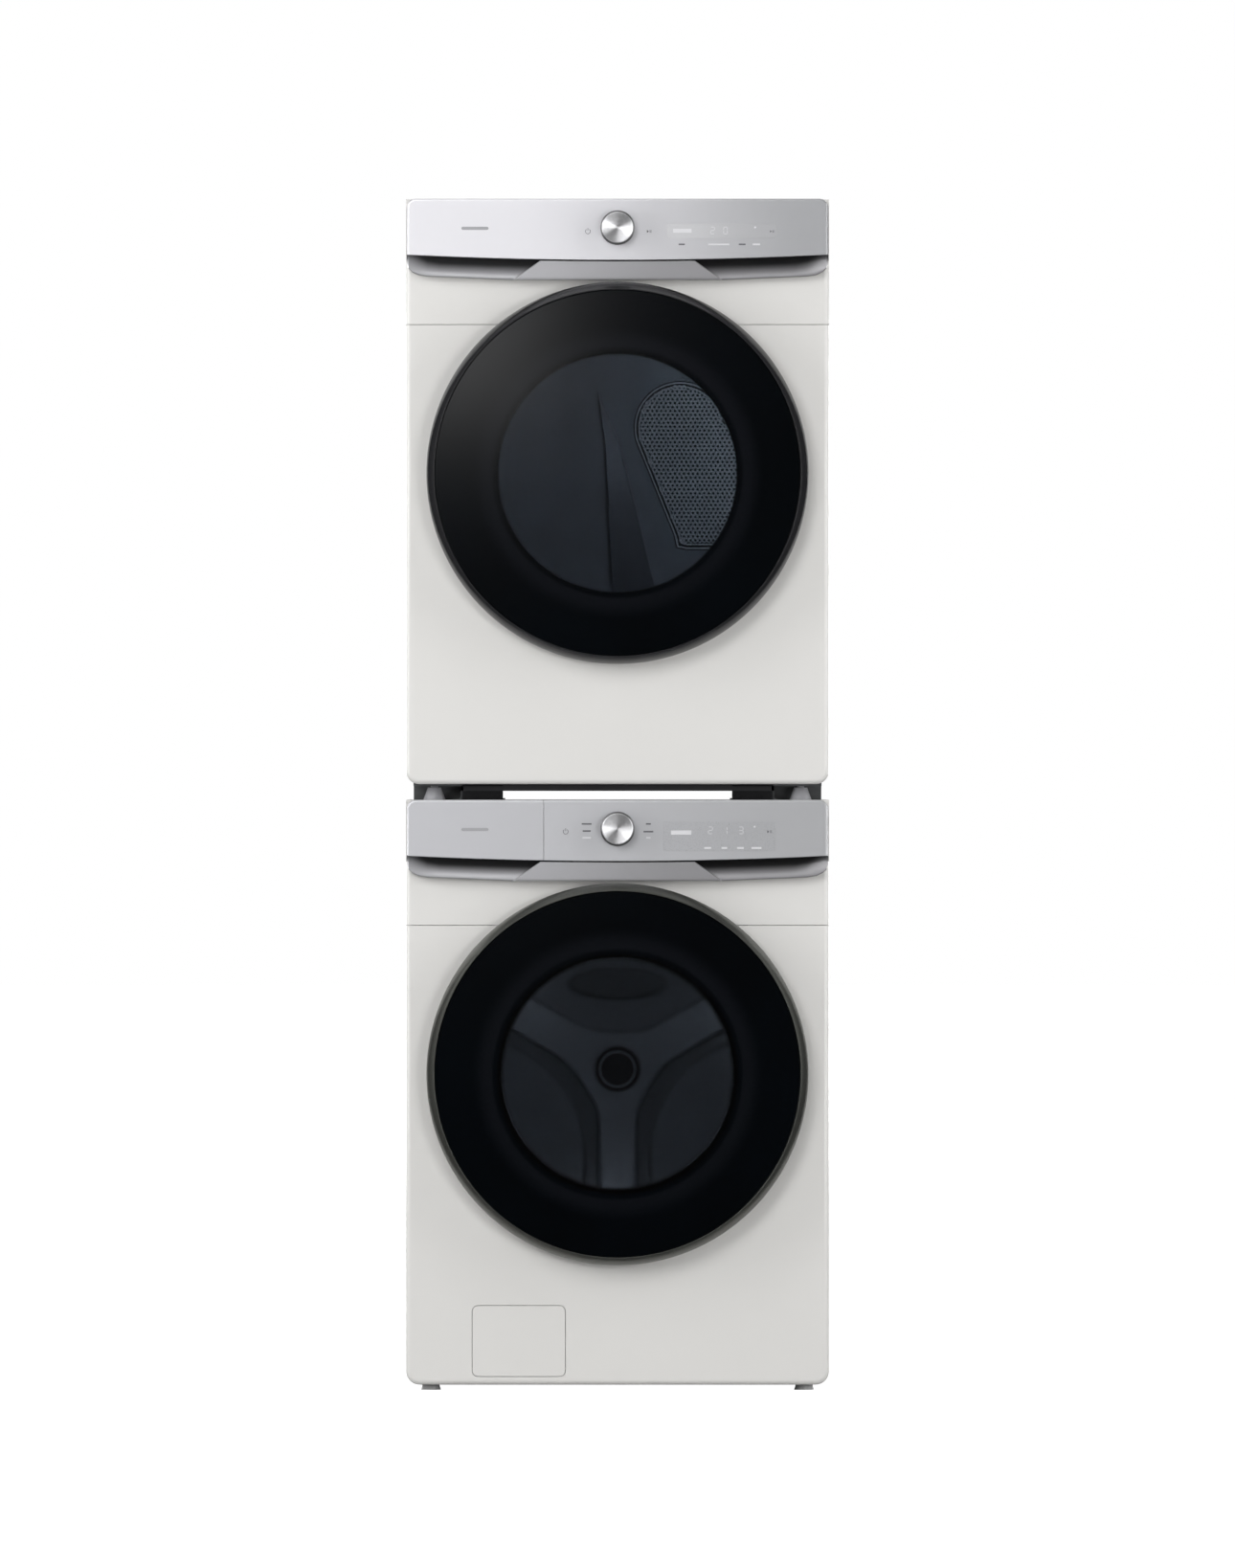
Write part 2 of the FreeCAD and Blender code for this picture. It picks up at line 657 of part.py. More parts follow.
def door_gasket():
    """Rubber bellows from the front sheet's opening to the tub's mouth."""
    washer.turned("door_gasket", [
        ("gauge", "throat - 14"), ("gauge", "throat + 8"), ("gauge + 4", "throat + 8"),
        ("gauge + 4", "throat - 8"), ("24", "throat - 12"), ("46", "throat + 2"),
        ("64", "throat + 4"), ("84", "throat - 12"), ("102", "throat - 10"),
        ("119.8", "throat + 2"), ("119.8", "throat - 6"), ("104", "throat - 16"),
        ("82", "throat - 17"), ("64", "throat - 4"), ("48", "throat - 5"),
        ("26", "throat - 20"), ("8", "throat - 24")])


def tub():
    """Closed plastic tub with a wide mouth, a bearing hub and lugs for its suspension."""
    body = washer.turned("tub", [
        ("120", "throat - 6"), ("120", "tub_radius - 8"), ("128", "tub_radius"),
        ("556", "tub_radius"), ("562", "tub_radius - 6"), ("562", "46"), ("596", "42"),
        ("596", "shaft_radius + running"), ("556", "shaft_radius + running"),
        ("556", "tub_radius - tub_wall"), ("130", "tub_radius - tub_wall"),
        ("125", "tub_radius - 12"), ("125", "throat - 6")])
    for side in SIDES:
        for middle, foot, head in (("spring_x", 196, 224), ("damper_x", -262, -236)):
            spot = "%d * %s" % (side, middle)
            lug = sketch_on(body, "XZ_Plane", "14 - tub_middle")
            rectangle(lug, spot + " - 14", spot + " + 14", foot, head)
            pad(body, lug, 28)


def washer_drum():
    """Steel basket: rolled wall, front lip and a flat back."""
    washer.turned("drum", [
        ("136", "throat - 18"), ("136", "drum_radius - 6"), ("144", "drum_radius"),
        ("530", "drum_radius"), ("530", "40"), ("530 - drum_wall", "40"),
        ("530 - drum_wall", "drum_radius - drum_wall"),
        ("145", "drum_radius - drum_wall"), ("138", "drum_radius - 8"),
        ("138", "throat - 18")])


def ribs(unit, piece, inner, depth, foot, crest, tall):
    """Three ribs along a drum's inside, seated on its wall, one at the top at rest."""
    body = unit.body(piece, height="door_height")
    seat = "sqrt((%s) * (%s) - %s * %s)" % (inner, inner, foot, foot)
    section = outline(sketch_on(body, "XZ_Plane", "-(%s)" % depth[0]), [
        (-foot, seat, "(%s) - %s" % (inner, seat)), (foot, seat),
        (crest, "(%s) - %s" % (inner, tall)), (-crest, "(%s) - %s" % (inner, tall))])
    thirds(body, pad(body, section, "(%s) - (%s)" % (depth[1], depth[0])))


def thirds(body, made):
    """Repeat a feature three times round the body's Y axis."""
    axis = [one for one in body.Origin.OriginFeatures if one.Role == "Y_Axis"][0]
    pattern = body.newObject("PartDesign::PolarPattern", body.Name + "_pattern")
    pattern.Originals = [made]
    pattern.Axis = (axis, [""])
    pattern.Angle = 360
    pattern.Occurrences = 3
    body.Tip = pattern
    doc.recompute()


def spider():
    """Three-armed casting behind the drum, with the shaft pressed into its hub."""
    body = washer.turned("drum_spider", [
        ("526", "0"), ("526", "39.5"), ("553", "39.5"), ("553", "shaft_radius"),
        ("646", "shaft_radius"), ("646", "0")])
    arm = outline(sketch_on(body, "XZ_Plane", "-530.1"), [
        (-14, "-drum_radius + 8"), (14, "-drum_radius + 8"), (22, -30), (-22, -30)])
    thirds(body, pad(body, arm, 20))


def direct_drive():
    """Stator ring on the tub's back and the magnet rotor cup on the shaft."""
    washer.turned("motor_stator", [
        ("562", "60"), ("562", "98"), ("600", "104"), ("622", "104"), ("622", "60")])
    washer.turned("motor_rotor", [
        ("598", "110"), ("598", "122"), ("640", "122"), ("640", "shaft_radius + running"),
        ("634", "shaft_radius + running"), ("634", "110")])


def suspension():
    """Two springs that hang the tub from above and two dampers that stand under it."""
    pieces = []
    for side in SIDES:
        hanger = "%d * spring_x" % side
        tall = "door_height + 224"
        head = "cabinet_height - gauge"
        rod = washer.post(4, hanger, "tub_middle", (tall, head))
        coil = washer.post(13, hanger, "tub_middle", (tall + " + 40", head + " - 40"))
        pieces.append(washer.fuse([rod, coil]))
        strut = "%d * damper_x" % side
        low = "door_height - 262"
        tube = washer.post(16, strut, "tub_middle", ("2 * gauge", low + " - 60"))
        slider = washer.post(9, strut, "tub_middle", (low + " - 60", low))
        pieces.append(washer.fuse([tube, slider]))
    washer.keep(washer.group(pieces), "tub_suspension")


def drain_pump():
    """Pump with its filter housing, behind the small door at the bottom."""
    shell = washer.rod(34, "filter_x", ("24", "150"), "filter_height")
    motor = washer.rod(36, "filter_x", ("150", "215"), "filter_height")
    foot = washer.box(("filter_x - 30", "filter_x + 30"), ("40", "205"),
                      ("2 * gauge", "filter_height - 20"))
    chamber = washer.rod("29", "filter_x", ("20", "140"), "filter_height")
    washer.keep(washer.cut(washer.fuse([shell, motor, foot]), [chamber]), "drain_pump")


def filter_cap():
    """Screw cap of the pump filter, with a grip bar and the lint basket behind it."""
    body = washer.turned("filter_cap", [
        ("14", "0"), ("14", "33"), ("23.7", "33"), ("23.7", "28.95"), ("60", "28.95"),
        ("60", "24"), ("120", "24"), ("120", "0")], "filter_x", "filter_height")
    grip = rectangle(sketch_on(body, "XZ_Plane", "-14.5"), -26, 26, -4, 4)
    pad(body, grip, 8.5, inwards=False)


def filter_door():
    """Small flush door over the pump filter, on a pin across its back near the bottom."""
    body = washer.body("filter_door")
    gap = "seam_gap"
    pad(body, rectangle(sketch_on(body, "XZ_Plane"), "bay_left + " + gap, "bay_right - " + gap,
                        "bay_foot + " + gap, "bay_head - " + gap), 3)
    uprights = [value(end) for end in ("bay_left + seam_gap", "bay_right - seam_gap")]
    levels = [value(end) for end in ("bay_foot + seam_gap", "bay_head - seam_gap")]
    round_edges(body, 9.2, lambda spot: (
        any(near(spot.x, one) for one in uprights) and any(near(spot.z, one) for one in levels)))
    pin = circle(sketch_on(body, "YZ_Plane", "bay_left - 7.5"), "filter_pin_in",
                 "filter_pin_height", "filter_pin")
    pad(body, pin, "bay_right - bay_left + 15", inwards=False)


def inlet_valves():
    """Hot and cold solenoid valves with threaded hose connectors through the back."""
    block = washer.box((-262, -138), ("cabinet_depth - 62", "cabinet_depth - 12"),
                       ("inlet_height - 18", "inlet_height + 18"))
    pieces = [block]
    bores = []
    for across in INLET_X:
        pieces.append(washer.rod(15.5, across, ("cabinet_depth - 14", "cabinet_depth"),
                                 "inlet_height"))
        pieces.append(washer.rod(13.3, across, ("cabinet_depth", "cabinet_depth + 24"),
                                 "inlet_height"))
        pieces.append(washer.post(17, across, "cabinet_depth - 38",
                                  ("inlet_height - 60", "inlet_height")))
        bores.append(washer.rod(9, across, ("cabinet_depth - 20", "cabinet_depth + 30"),
                                "inlet_height"))
    washer.keep(washer.cut(washer.fuse(pieces), bores), "inlet_valves")


def feet(unit, drop, pad_radius, neck_radius, pad_height):
    """Four levelling feet with threaded studs through the base pan."""
    pieces = []
    for side in SIDES:
        for depth in FOOT_DEPTHS:
            spot = "%d * %s_foot_x" % (side, unit.name)
            sole = unit.post(pad_radius, spot, depth, ("-" + drop, "-%s + %s" % (
                drop, pad_height)), top=neck_radius)
            stud = unit.post(6, spot, depth, ("-%s + %s" % (drop, pad_height), "22"))
            pieces.append(unit.fuse([sole, stud]))
    unit.keep(unit.group(pieces), "leveling_feet")


# ---------------------------------------------------------------- dryer works

def front_bulkhead():
    """Ring that closes the front of the drum, with the lint chute below the throat."""
    body = dryer.turned("front_bulkhead", [
        ("gauge", "throat - 4"), ("gauge", "throat + 8"), ("gauge + 3", "throat + 8"),
        ("gauge + 3", "throat"), ("92", "throat"), ("92", "dryer_drum + 6"),
        ("95", "dryer_drum + 6"), ("95", "298"), ("99", "298"), ("99", "throat - 4")])
    low = "blower_height - door_height - 75"
    knee = "blower_height - door_height + 75"
    chute = outline(sketch_on(body, "XZ_Plane", "-66"), [
        ("blower_x - 60", low), ("lint_half + 6", low), ("lint_half + 6", "-throat + 20"),
        ("-lint_half - 6", "-throat + 20"), ("-lint_half - 6", knee), ("blower_x - 60", knee)])
    pad(body, chute, 26)
    mouth = circle(sketch_on(body, "XZ_Plane", "-gauge"), 0, 0, "throat - 4")
    pocket(body, mouth, 98)
    inside = outline(sketch_on(body, "XZ_Plane", "-70"), [
        ("blower_x - 56", low + " + 4"), ("lint_half + 1", low + " + 4"),
        ("lint_half + 1", "-throat + 40"), ("-lint_half - 1", "-throat + 40"),
        ("-lint_half - 1", knee + " - 4"), ("blower_x - 56", knee + " - 4")])
    pocket(body, inside, 18)
    suction = circle(sketch_on(body, "XZ_Plane", "-86"), "blower_x",
                     "blower_height - door_height", 40)
    pocket(body, suction, 8)


def lint_filter():
    """Flat lint screen frame that slides up out of the chute by its handle."""
    body = dryer.body("lint_filter", height="door_height", depth="73")
    pad(body, rectangle(sketch_on(body, "XZ_Plane"), "-lint_half", "lint_half",
                        "-throat - 150", "-throat + 8"), 12)
    windows = sketch_on(body, "XZ_Plane")
    for side in SIDES:
        ends = sorted((side * 4, side * 52))
        rectangle(windows, ends[0], ends[1], "-throat - 142", "-throat - 12")
    pocket(body, windows, 10)
    pad(body, rectangle(sketch_on(body, "XZ_Plane", "4"), -30, 30, "-throat + 8",
                        "-throat + 20"), 18)


def dryer_drum():
    """Galvanised drum, open at both ends, rolled in at the front."""
    dryer.turned("drum", [
        ("103", "302"), ("103", "dryer_drum"), ("638", "dryer_drum"),
        ("638", "dryer_drum - 1.2"), ("104.2", "dryer_drum - 1.2"), ("104.2", "302")])


def roller_spot(side):
    """Across and height of one rear roller's centre, from the drum's centre."""
    reach = "(dryer_drum + roller + 0.4)"
    return ("%d * %s * cos(roller_angle)" % (side, reach), "-%s * sin(roller_angle)" % reach)


def rear_bulkhead():
    """Back wall of the drum: the perforated air inlet and the two roller axles."""
    body = dryer.body("rear_bulkhead", height="door_height", depth="642")
    pad(body, rectangle(sketch_on(body, "XZ_Plane"), "-half_width + 15", "half_width - 15",
                        "-door_height + pan_height + 2", "cabinet_height - door_height - 16"),
        1.5)
    axles = sketch_on(body, "XZ_Plane")
    for side in SIDES:
        circle(axles, *roller_spot(side), 8)
    pad(body, axles, 42, inwards=False)
    holes = sketch_on(body, "XZ_Plane")
    for across, up in inlet_holes():
        holes.addGeometry(Part.Circle(Vector(across, up, 0), Vector(0, 0, 1), 5))
    circle(holes, "duct_x", "blower_height - door_height", "duct_radius + 3")
    pocket(body, holes, 5)


def inlet_holes():
    """Centres of the air holes, in staggered rows inside a pear-shaped outline."""
    pitch = 15.0
    centres = []
    for row in range(18):
        up = 150 - row * pitch * math.sqrt(3) / 2
        for column in range(12):
            across = 38 + (column + (row % 2) / 2) * pitch
            lobe = math.hypot(across - 104, up - 86) < 66
            blade = -105 < up < 86 and 36 + (86 - up) * 0.36 < across < 200
            if lobe or (blade and math.hypot(across, up) < 214):
                centres.append((across, up))
    return centres


def rollers():
    """Rear support rollers, one either side under the drum."""
    for side, piece in zip(SIDES, ("roller_left", "roller_right")):
        across, up = roller_spot(side)
        dryer.turned(piece, [
            ("603", "8 + running"), ("603", "roller - 4"), ("606", "roller"),
            ("624", "roller"), ("627", "roller - 4"), ("627", "8 + running")],
            across, "door_height + " + up)


def belt():
    """Flat belt round the drum and the motor pulley, both straight runs tangent."""
    drop = value("blower_height - door_height")
    across = value("blower_x")
    reach = math.hypot(across, drop)
    heading = math.atan2(drop, across)

    def loop(drum, pulley):
        swing = math.acos((drum - pulley) / reach)
        centres = ((0, 0, drum), (across, drop, pulley))
        touch = [[Vector(x + size * math.cos(heading + turn * swing), 0,
                         z + size * math.sin(heading + turn * swing))
                  for x, z, size in centres] for turn in (-1, 1)]
        top = Vector(-drum * math.cos(heading), 0, -drum * math.sin(heading))
        low = Vector(across + pulley * math.cos(heading), 0,
                     drop + pulley * math.sin(heading))
        edges = [Part.Arc(touch[1][0], top, touch[0][0]).toShape(),
                 Part.LineSegment(touch[0][0], touch[0][1]).toShape(),
                 Part.Arc(touch[0][1], low, touch[1][1]).toShape(),
                 Part.LineSegment(touch[1][1], touch[1][0]).toShape()]
        return Part.Face(Part.Wire(edges))

    ring = loop(value("dryer_drum") + 2.9, value("pulley") + 2.9).cut(
        loop(value("dryer_drum") + 0.4, value("pulley") + 0.4))
    made = doc.addObject("Part::Feature", "dryer_belt")
    made.Shape = ring.extrude(Vector(0, 8, 0)).Solids[0]
    made.Placement = Placement(Vector(
        0, value("front + 330"), value("dryer_base + door_height")), Rotation())
    dryer.keep(made, "drum_belt")


def drive_motor():
    """Motor can on its foot, between the blower and the belt."""
    can = dryer.rod(52, "blower_x", ("178", "305"), "blower_height")
    neck = dryer.rod(22, "blower_x", ("170", "178"), "blower_height")
    foot = dryer.box(("blower_x - 35", "blower_x + 35"), ("190", "295"),
                     ("2 * gauge", "blower_height - 30"))
    bore = dryer.rod("8 + running", "blower_x", ("160", "320"), "blower_height")
    dryer.keep(dryer.cut(dryer.fuse([can, neck, foot]), [bore]), "drive_motor")


def blower_wheel():
    """Blower wheel and belt pulley on the one motor shaft."""
    body = dryer.turned("blower_wheel", [
        ("106", "0"), ("106", "20"), ("150", "20"), ("150", "wheel_radius"),
        ("154", "wheel_radius"), ("154", "8"), ("324", "8"), ("324", "pulley + 3"),
        ("327", "pulley"), ("341", "pulley"), ("344", "pulley + 3"), ("346", "0")],
        "blower_x", "blower_height")
    blades = sketch_on(body, "XZ_Plane", "-108")
    count = 16
    for number in range(count):
        angle = 2 * math.pi * number / count
        spots = [(0.58, -0.03), (0.99, 0.06), (0.99, 0.12), (0.58, 0.03)]
        outline(blades, [(
            value("wheel_radius") * size * math.cos(angle + turn),
            value("wheel_radius") * size * math.sin(angle + turn)) for size, turn in spots])
    pad(body, blades, 42.5)


def exhaust_duct():
    """Blower housing and the round duct that leads its air out through the back."""
    shell = dryer.rod(74, "blower_x", ("92", "162"), "blower_height")
    link = dryer.box(("blower_x", "duct_x"), ("112", "162"),
                     ("blower_height - 44", "blower_height + 44"))
    tube = dryer.rod("duct_radius + 1", "duct_x", ("112", "cabinet_depth"), "blower_height")
    outlet = dryer.rod("duct_radius", "duct_x", ("cabinet_depth", "cabinet_depth + rear_reach"),
                       "blower_height")
    room = dryer.rod(70, "blower_x", ("96", "158"), "blower_height")
    gate = dryer.box(("blower_x", "duct_x"), ("116", "158"),
                     ("blower_height - 40", "blower_height + 40"))
    bore = dryer.rod("duct_radius - 1", "duct_x", ("114", "cabinet_depth + rear_reach + 5"),
                     "blower_height")
    suction = dryer.rod(38, "blower_x", ("80", "100"), "blower_height")
    neck = dryer.rod(9, "blower_x", ("150", "180"), "blower_height")
    duct = dryer.fuse([shell, link, tube, outlet])
    dryer.keep(dryer.cut(duct, [room, gate, bore, suction, neck]), "exhaust_duct")


# ---------------------------------------------------------------- stacking kit

def stacking_bracket(side):
    """Steel rail with a plastic front stop: it carries the dryer over the washer."""
    def span(inner, outer):
        ends = ["%d * %s" % (side, end) for end in (inner, outer)]
        return tuple(ends if side > 0 else reversed(ends))

    def level(foot, head):
        return ("cabinet_height + %s" % foot, "cabinet_height + %s" % head)

    pieces = [
        washer.box(span(186, 256.5), ("22", "658"), level(0, 2.5)),
        washer.box(span(186, 331), ("62", "658"), level(0, 2.5)),
        washer.box(span(254, 256.5), ("62", "658"), level(0, "stack_gap")),
        washer.box(span(254, 318), ("62", "658"), level("stack_gap - 2.5", "stack_gap")),
        washer.box(span(254, 331), ("62", "64.5"), level(0, "stack_gap - 3")),
        washer.box(span(186, 254), ("22", "60"), level(0, "stack_gap - 11")),
    ]
    for across in (196, 212, 231):
        pieces.append(washer.rod(3.2, "%d * %s" % (side, across), ("19", "24"),
                                 "cabinet_height + 6"))
    holes = [washer.post("screw_radius + running", "%d * screw_x" % side, depth, level(-2, 8))
             for depth in SCREW_DEPTHS]
    keep(washer.cut(washer.fuse(pieces), holes),
         "stacking_bracket_" + ("right" if side > 0 else "left"))


def stacking_screws():
    """Six self-tapping screws that hold the rails to the washer's lid."""
    pieces = []
    for side in SIDES:
        for depth in SCREW_DEPTHS:
            spot = "%d * screw_x" % side
            head = washer.post(6.5, spot, depth, ("cabinet_height + 2.5",
                                                  "cabinet_height + 6"), top=5)
            shank = washer.post("screw_radius", spot, depth, ("cabinet_height - 9",
                                                              "cabinet_height + 2.5"))
            pieces.append(washer.fuse([head, shank]))
    keep(washer.group(pieces), "stacking_screws")


# ---------------------------------------------------------------- build

for one in (washer, dryer):
    base_pan(one)
    side_panel(one, -1)
    side_panel(one, 1)
    top_plate(one)
    rear_panel(one)
    front_panel(one)
    front_header(one)
    control_panel(one)
    handle_trim(one)
    knob(one)
    door_ring(one)
    door_glass(one)
    door_window(one)
    door_hinge(one)

door_latch()
detergent_drawer()
door_gasket()
tub()
washer_drum()
ribs(washer, "drum_lifters", "drum_radius - drum_wall", ("160", "500"), 30, 10, 56)
spider()
direct_drive()
suspension()
drain_pump()
filter_cap()
filter_door()
inlet_valves()
feet(washer, "foot_height", 16.5, 14, 8)

front_bulkhead()
lint_filter()
dryer_drum()
ribs(dryer, "drum_baffles", "dryer_drum - 1.2", ("130", "610"), 42, 14, 70)
rear_bulkhead()
rollers()
belt()
drive_motor()
blower_wheel()
exhaust_duct()
feet(dryer, "stack_gap", 18, 11, 20)

stacking_bracket(-1)
stacking_bracket(1)
stacking_screws()

# ---------------------------------------------------------------- check and write

doc.recompute()
for thing in doc.Objects:
    faults = [state for state in thing.State if state in ("Invalid", "Error")]
    if faults:
        raise RuntimeError("%s is %s" % (thing.Label, ", ".join(faults)))
for node in NODES:
    if node.Shape.isNull() or not node.Shape.isValid() or not node.Shape.Solids:
        raise RuntimeError("%s has no sound shape" % node.Label)
    node.Shape.exportStep("parts/%s.step" % node.Label)
print("%d nodes written" % len(NODES))
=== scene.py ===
import math

import bmesh
import bpy
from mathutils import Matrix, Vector


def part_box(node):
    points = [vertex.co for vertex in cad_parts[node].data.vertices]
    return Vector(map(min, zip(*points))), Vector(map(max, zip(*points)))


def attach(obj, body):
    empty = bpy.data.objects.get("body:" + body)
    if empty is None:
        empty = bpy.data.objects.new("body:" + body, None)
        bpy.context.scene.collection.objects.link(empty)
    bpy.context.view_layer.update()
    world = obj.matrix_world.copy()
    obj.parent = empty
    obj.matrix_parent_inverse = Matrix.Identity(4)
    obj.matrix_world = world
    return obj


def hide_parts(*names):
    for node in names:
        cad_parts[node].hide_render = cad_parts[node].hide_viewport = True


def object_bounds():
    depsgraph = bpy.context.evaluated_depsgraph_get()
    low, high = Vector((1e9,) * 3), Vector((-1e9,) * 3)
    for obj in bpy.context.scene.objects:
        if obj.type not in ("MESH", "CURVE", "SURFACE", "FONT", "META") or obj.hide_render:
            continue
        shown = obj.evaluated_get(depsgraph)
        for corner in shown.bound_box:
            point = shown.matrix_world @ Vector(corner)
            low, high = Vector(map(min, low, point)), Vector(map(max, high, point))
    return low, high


# Looks of the stacked washer and dryer, in metres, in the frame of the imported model:
# +Z up, the doors face -Y, +X to the right of someone looking at the doors.

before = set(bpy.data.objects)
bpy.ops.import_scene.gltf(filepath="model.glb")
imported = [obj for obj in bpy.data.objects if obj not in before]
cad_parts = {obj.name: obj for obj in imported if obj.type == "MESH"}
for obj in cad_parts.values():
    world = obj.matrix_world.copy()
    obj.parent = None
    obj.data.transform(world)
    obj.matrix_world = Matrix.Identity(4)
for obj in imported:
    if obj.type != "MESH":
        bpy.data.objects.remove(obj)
cad_box = [list(corner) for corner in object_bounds()]

MM = 0.001
UNITS = ("washer", "dryer")


class Place:
    """Where one cabinet's main features are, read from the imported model."""

    def __init__(self, unit):
        self.unit = unit
        self.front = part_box(unit + "_front_panel")[0].y
        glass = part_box(unit + "_door_glass")
        self.door = (glass[0] + glass[1]) / 2
        self.glass_front = glass[0].y
        self.glass_radius = (glass[1].z - glass[0].z) / 2
        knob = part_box(unit + "_knob")
        self.knob = (knob[0] + knob[1]) / 2
        self.knob_radius = (knob[1].z - knob[0].z) / 2
        self.knob_front = knob[0].y
        self.panel_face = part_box(unit + "_control_panel")[0].y


PLACES = {unit: Place(unit) for unit in UNITS}
FRONT = PLACES["washer"].front
WINDOW_RADIUS = 197 * MM
FRINGE = (0.0032, 0.0040, 0.0056)         # paler band of print just outside the window
INK = (0.0004, 0.0010, 0.0018)            # black print on the door glass
TINT = {"washer": (0.43, 0.45, 0.48), "dryer": (0.45, 0.48, 0.52)}
GLASS_ROUGH = 0.13
LATHE_RINGS = 14000.0                     # turning marks on a knob, radians a metre
NOISE_RANGE = (0.3, 0.7)                  # what a noise texture mostly keeps within
ROUGH_DRIFT = 0.04                        # how far roughness wanders either way


# ---------------------------------------------------------------- material helpers

def new_material(name):
    """A material with nothing in it yet but its output."""
    material = bpy.data.materials.new(name)
    material.use_nodes = True
    tree = material.node_tree
    tree.nodes.clear()
    return material, tree, add(tree, "OutputMaterial").inputs["Surface"]


def add(tree, kind, inputs=(), **settings):
    """A shader node with its settings, and its sockets' own values by name or number."""
    node = tree.nodes.new("ShaderNode" + kind)
    for name, value in settings.items():
        setattr(node, name, value)
    for socket, value in dict(inputs).items():
        node.inputs[socket].default_value = value
    return node


def link(tree, source, target):
    tree.links.new(source, target)


def colour(rgb):
    return (*rgb, 1.0)


def shade(rgb, factor):
    return tuple(min(1.0, part * factor) for part in rgb)


def coordinates(tree, stretch=(1, 1, 1)):
    """Object coordinates: the piece's own frame, so the pattern moves with the piece."""
    place = add(tree, "TexCoord")
    mapping = add(tree, "Mapping", {"Scale": stretch})
    link(tree, place.outputs["Object"], mapping.inputs["Vector"])
    return mapping.outputs["Vector"]


def along(tree, axis):
    """One of the piece's own coordinates."""
    place = add(tree, "TexCoord")
    parts = add(tree, "SeparateXYZ")
    link(tree, place.outputs["Object"], parts.inputs["Vector"])
    return parts.outputs[axis]


def noise(tree, where, scale, detail=3.0):
    node = add(tree, "TexNoise", {"Scale": scale, "Detail": detail, "Roughness": 0.5})
    link(tree, where, node.inputs["Vector"])
    return node.outputs["Fac"]


def between(tree, factor, low, high):
    """Spread noise, which keeps near a half, between two numbers."""
    node = add(tree, "MapRange", {"From Min": NOISE_RANGE[0], "From Max": NOISE_RANGE[1],
                                  "To Min": low, "To Max": high})
    link(tree, factor, node.inputs["Value"])
    return node.outputs["Result"]


def step(tree, value, low, high):
    """0 up to one value, 1 from another on, smooth in between."""
    node = add(tree, "MapRange", {"From Min": low, "From Max": high},
               interpolation_type="SMOOTHSTEP")
    link(tree, value, node.inputs["Value"])
    return node.outputs["Result"]


def blended(tree, factor, one, other):
    """Colour that goes from one to the other as a factor goes from 0 to 1."""
    node = add(tree, "Mix", {"A": colour(one), "B": colour(other)}, data_type="RGBA")
    link(tree, factor, node.inputs["Factor"])
    return node.outputs["Result"]


def mixed(tree, factor, one, other):
    """Colour that wanders between two with a noise."""
    return blended(tree, between(tree, factor, 0.0, 1.0), one, other)


def swept(tree, one, other, near, far, folded=False):
    """Colour that goes from one to the other along X, or outwards both ways if folded."""
    across = along(tree, "X")
    if folded:
        size = add(tree, "Math", operation="ABSOLUTE")
        link(tree, across, size.inputs[0])
        across = size.outputs["Value"]
    return blended(tree, step(tree, across, near, far), one, other)


def multiplied(tree, one, other):
    node = add(tree, "Mix", {"Factor": 1.0}, data_type="RGBA", blend_type="MULTIPLY")
    link(tree, one, node.inputs["A"])
    link(tree, other, node.inputs["B"])
    return node.outputs["Result"]


def painted_depth_shade(tree, out, deep, least):
    """Painted shade: grey that falls from 1 at one depth to the least at another, further back, so
    that deeper parts come out darker.
    """
    return blended(tree, step(tree, along(tree, "Y"), out, deep), (1, 1, 1), (least,) * 3)


def surface(name, rgb, rough, metal=0.0, vary=0.03, patch=6.0, grain=900.0, depth=0.03,
            stretch=(1, 1, 1), edge=0.6, coat=0.0, sweep=None, depth_shade=None, shine=0.5):
    """A moulded, painted or rolled surface: slow colour drift, fine grain, soft edges.
    Edge is the soft edge's radius in mm and shine the specular level. A sweep is (other
    colour, near, far, folded): see swept(). A depth shade is (outer depth, inner depth,
    least): painted shade that darkens the deeper parts, see painted_depth_shade()."""
    material, tree, output = new_material(name)
    shader = add(tree, "BsdfPrincipled", {"Metallic": metal, "Specular IOR Level": shine,
                                          "Coat Weight": coat, "Coat Roughness": 0.06})
    slow = noise(tree, coordinates(tree), patch, 4.0)
    fine = noise(tree, coordinates(tree, stretch), grain, 2.0)
    if sweep:
        drift = multiplied(tree, swept(tree, rgb, *sweep),
                           mixed(tree, slow, (1 - vary,) * 3, (1, 1, 1)))
    else:
        drift = mixed(tree, slow, shade(rgb, 1 - vary), shade(rgb, 1 + vary))
    if depth_shade:
        drift = multiplied(tree, drift, painted_depth_shade(tree, *depth_shade))
    link(tree, drift, shader.inputs["Base Color"])
    link(tree, between(tree, fine, rough - ROUGH_DRIFT, rough + ROUGH_DRIFT),
         shader.inputs["Roughness"])
    bevel = add(tree, "Bevel", {"Radius": edge * MM}, samples=4)
    bump = add(tree, "Bump", {"Strength": depth, "Distance": 0.4 * MM})
    link(tree, fine, bump.inputs["Height"])
    link(tree, bevel.outputs["Normal"], bump.inputs["Normal"])
    link(tree, bump.outputs["Normal"], shader.inputs["Normal"])
    link(tree, shader.outputs["BSDF"], output)
    return material


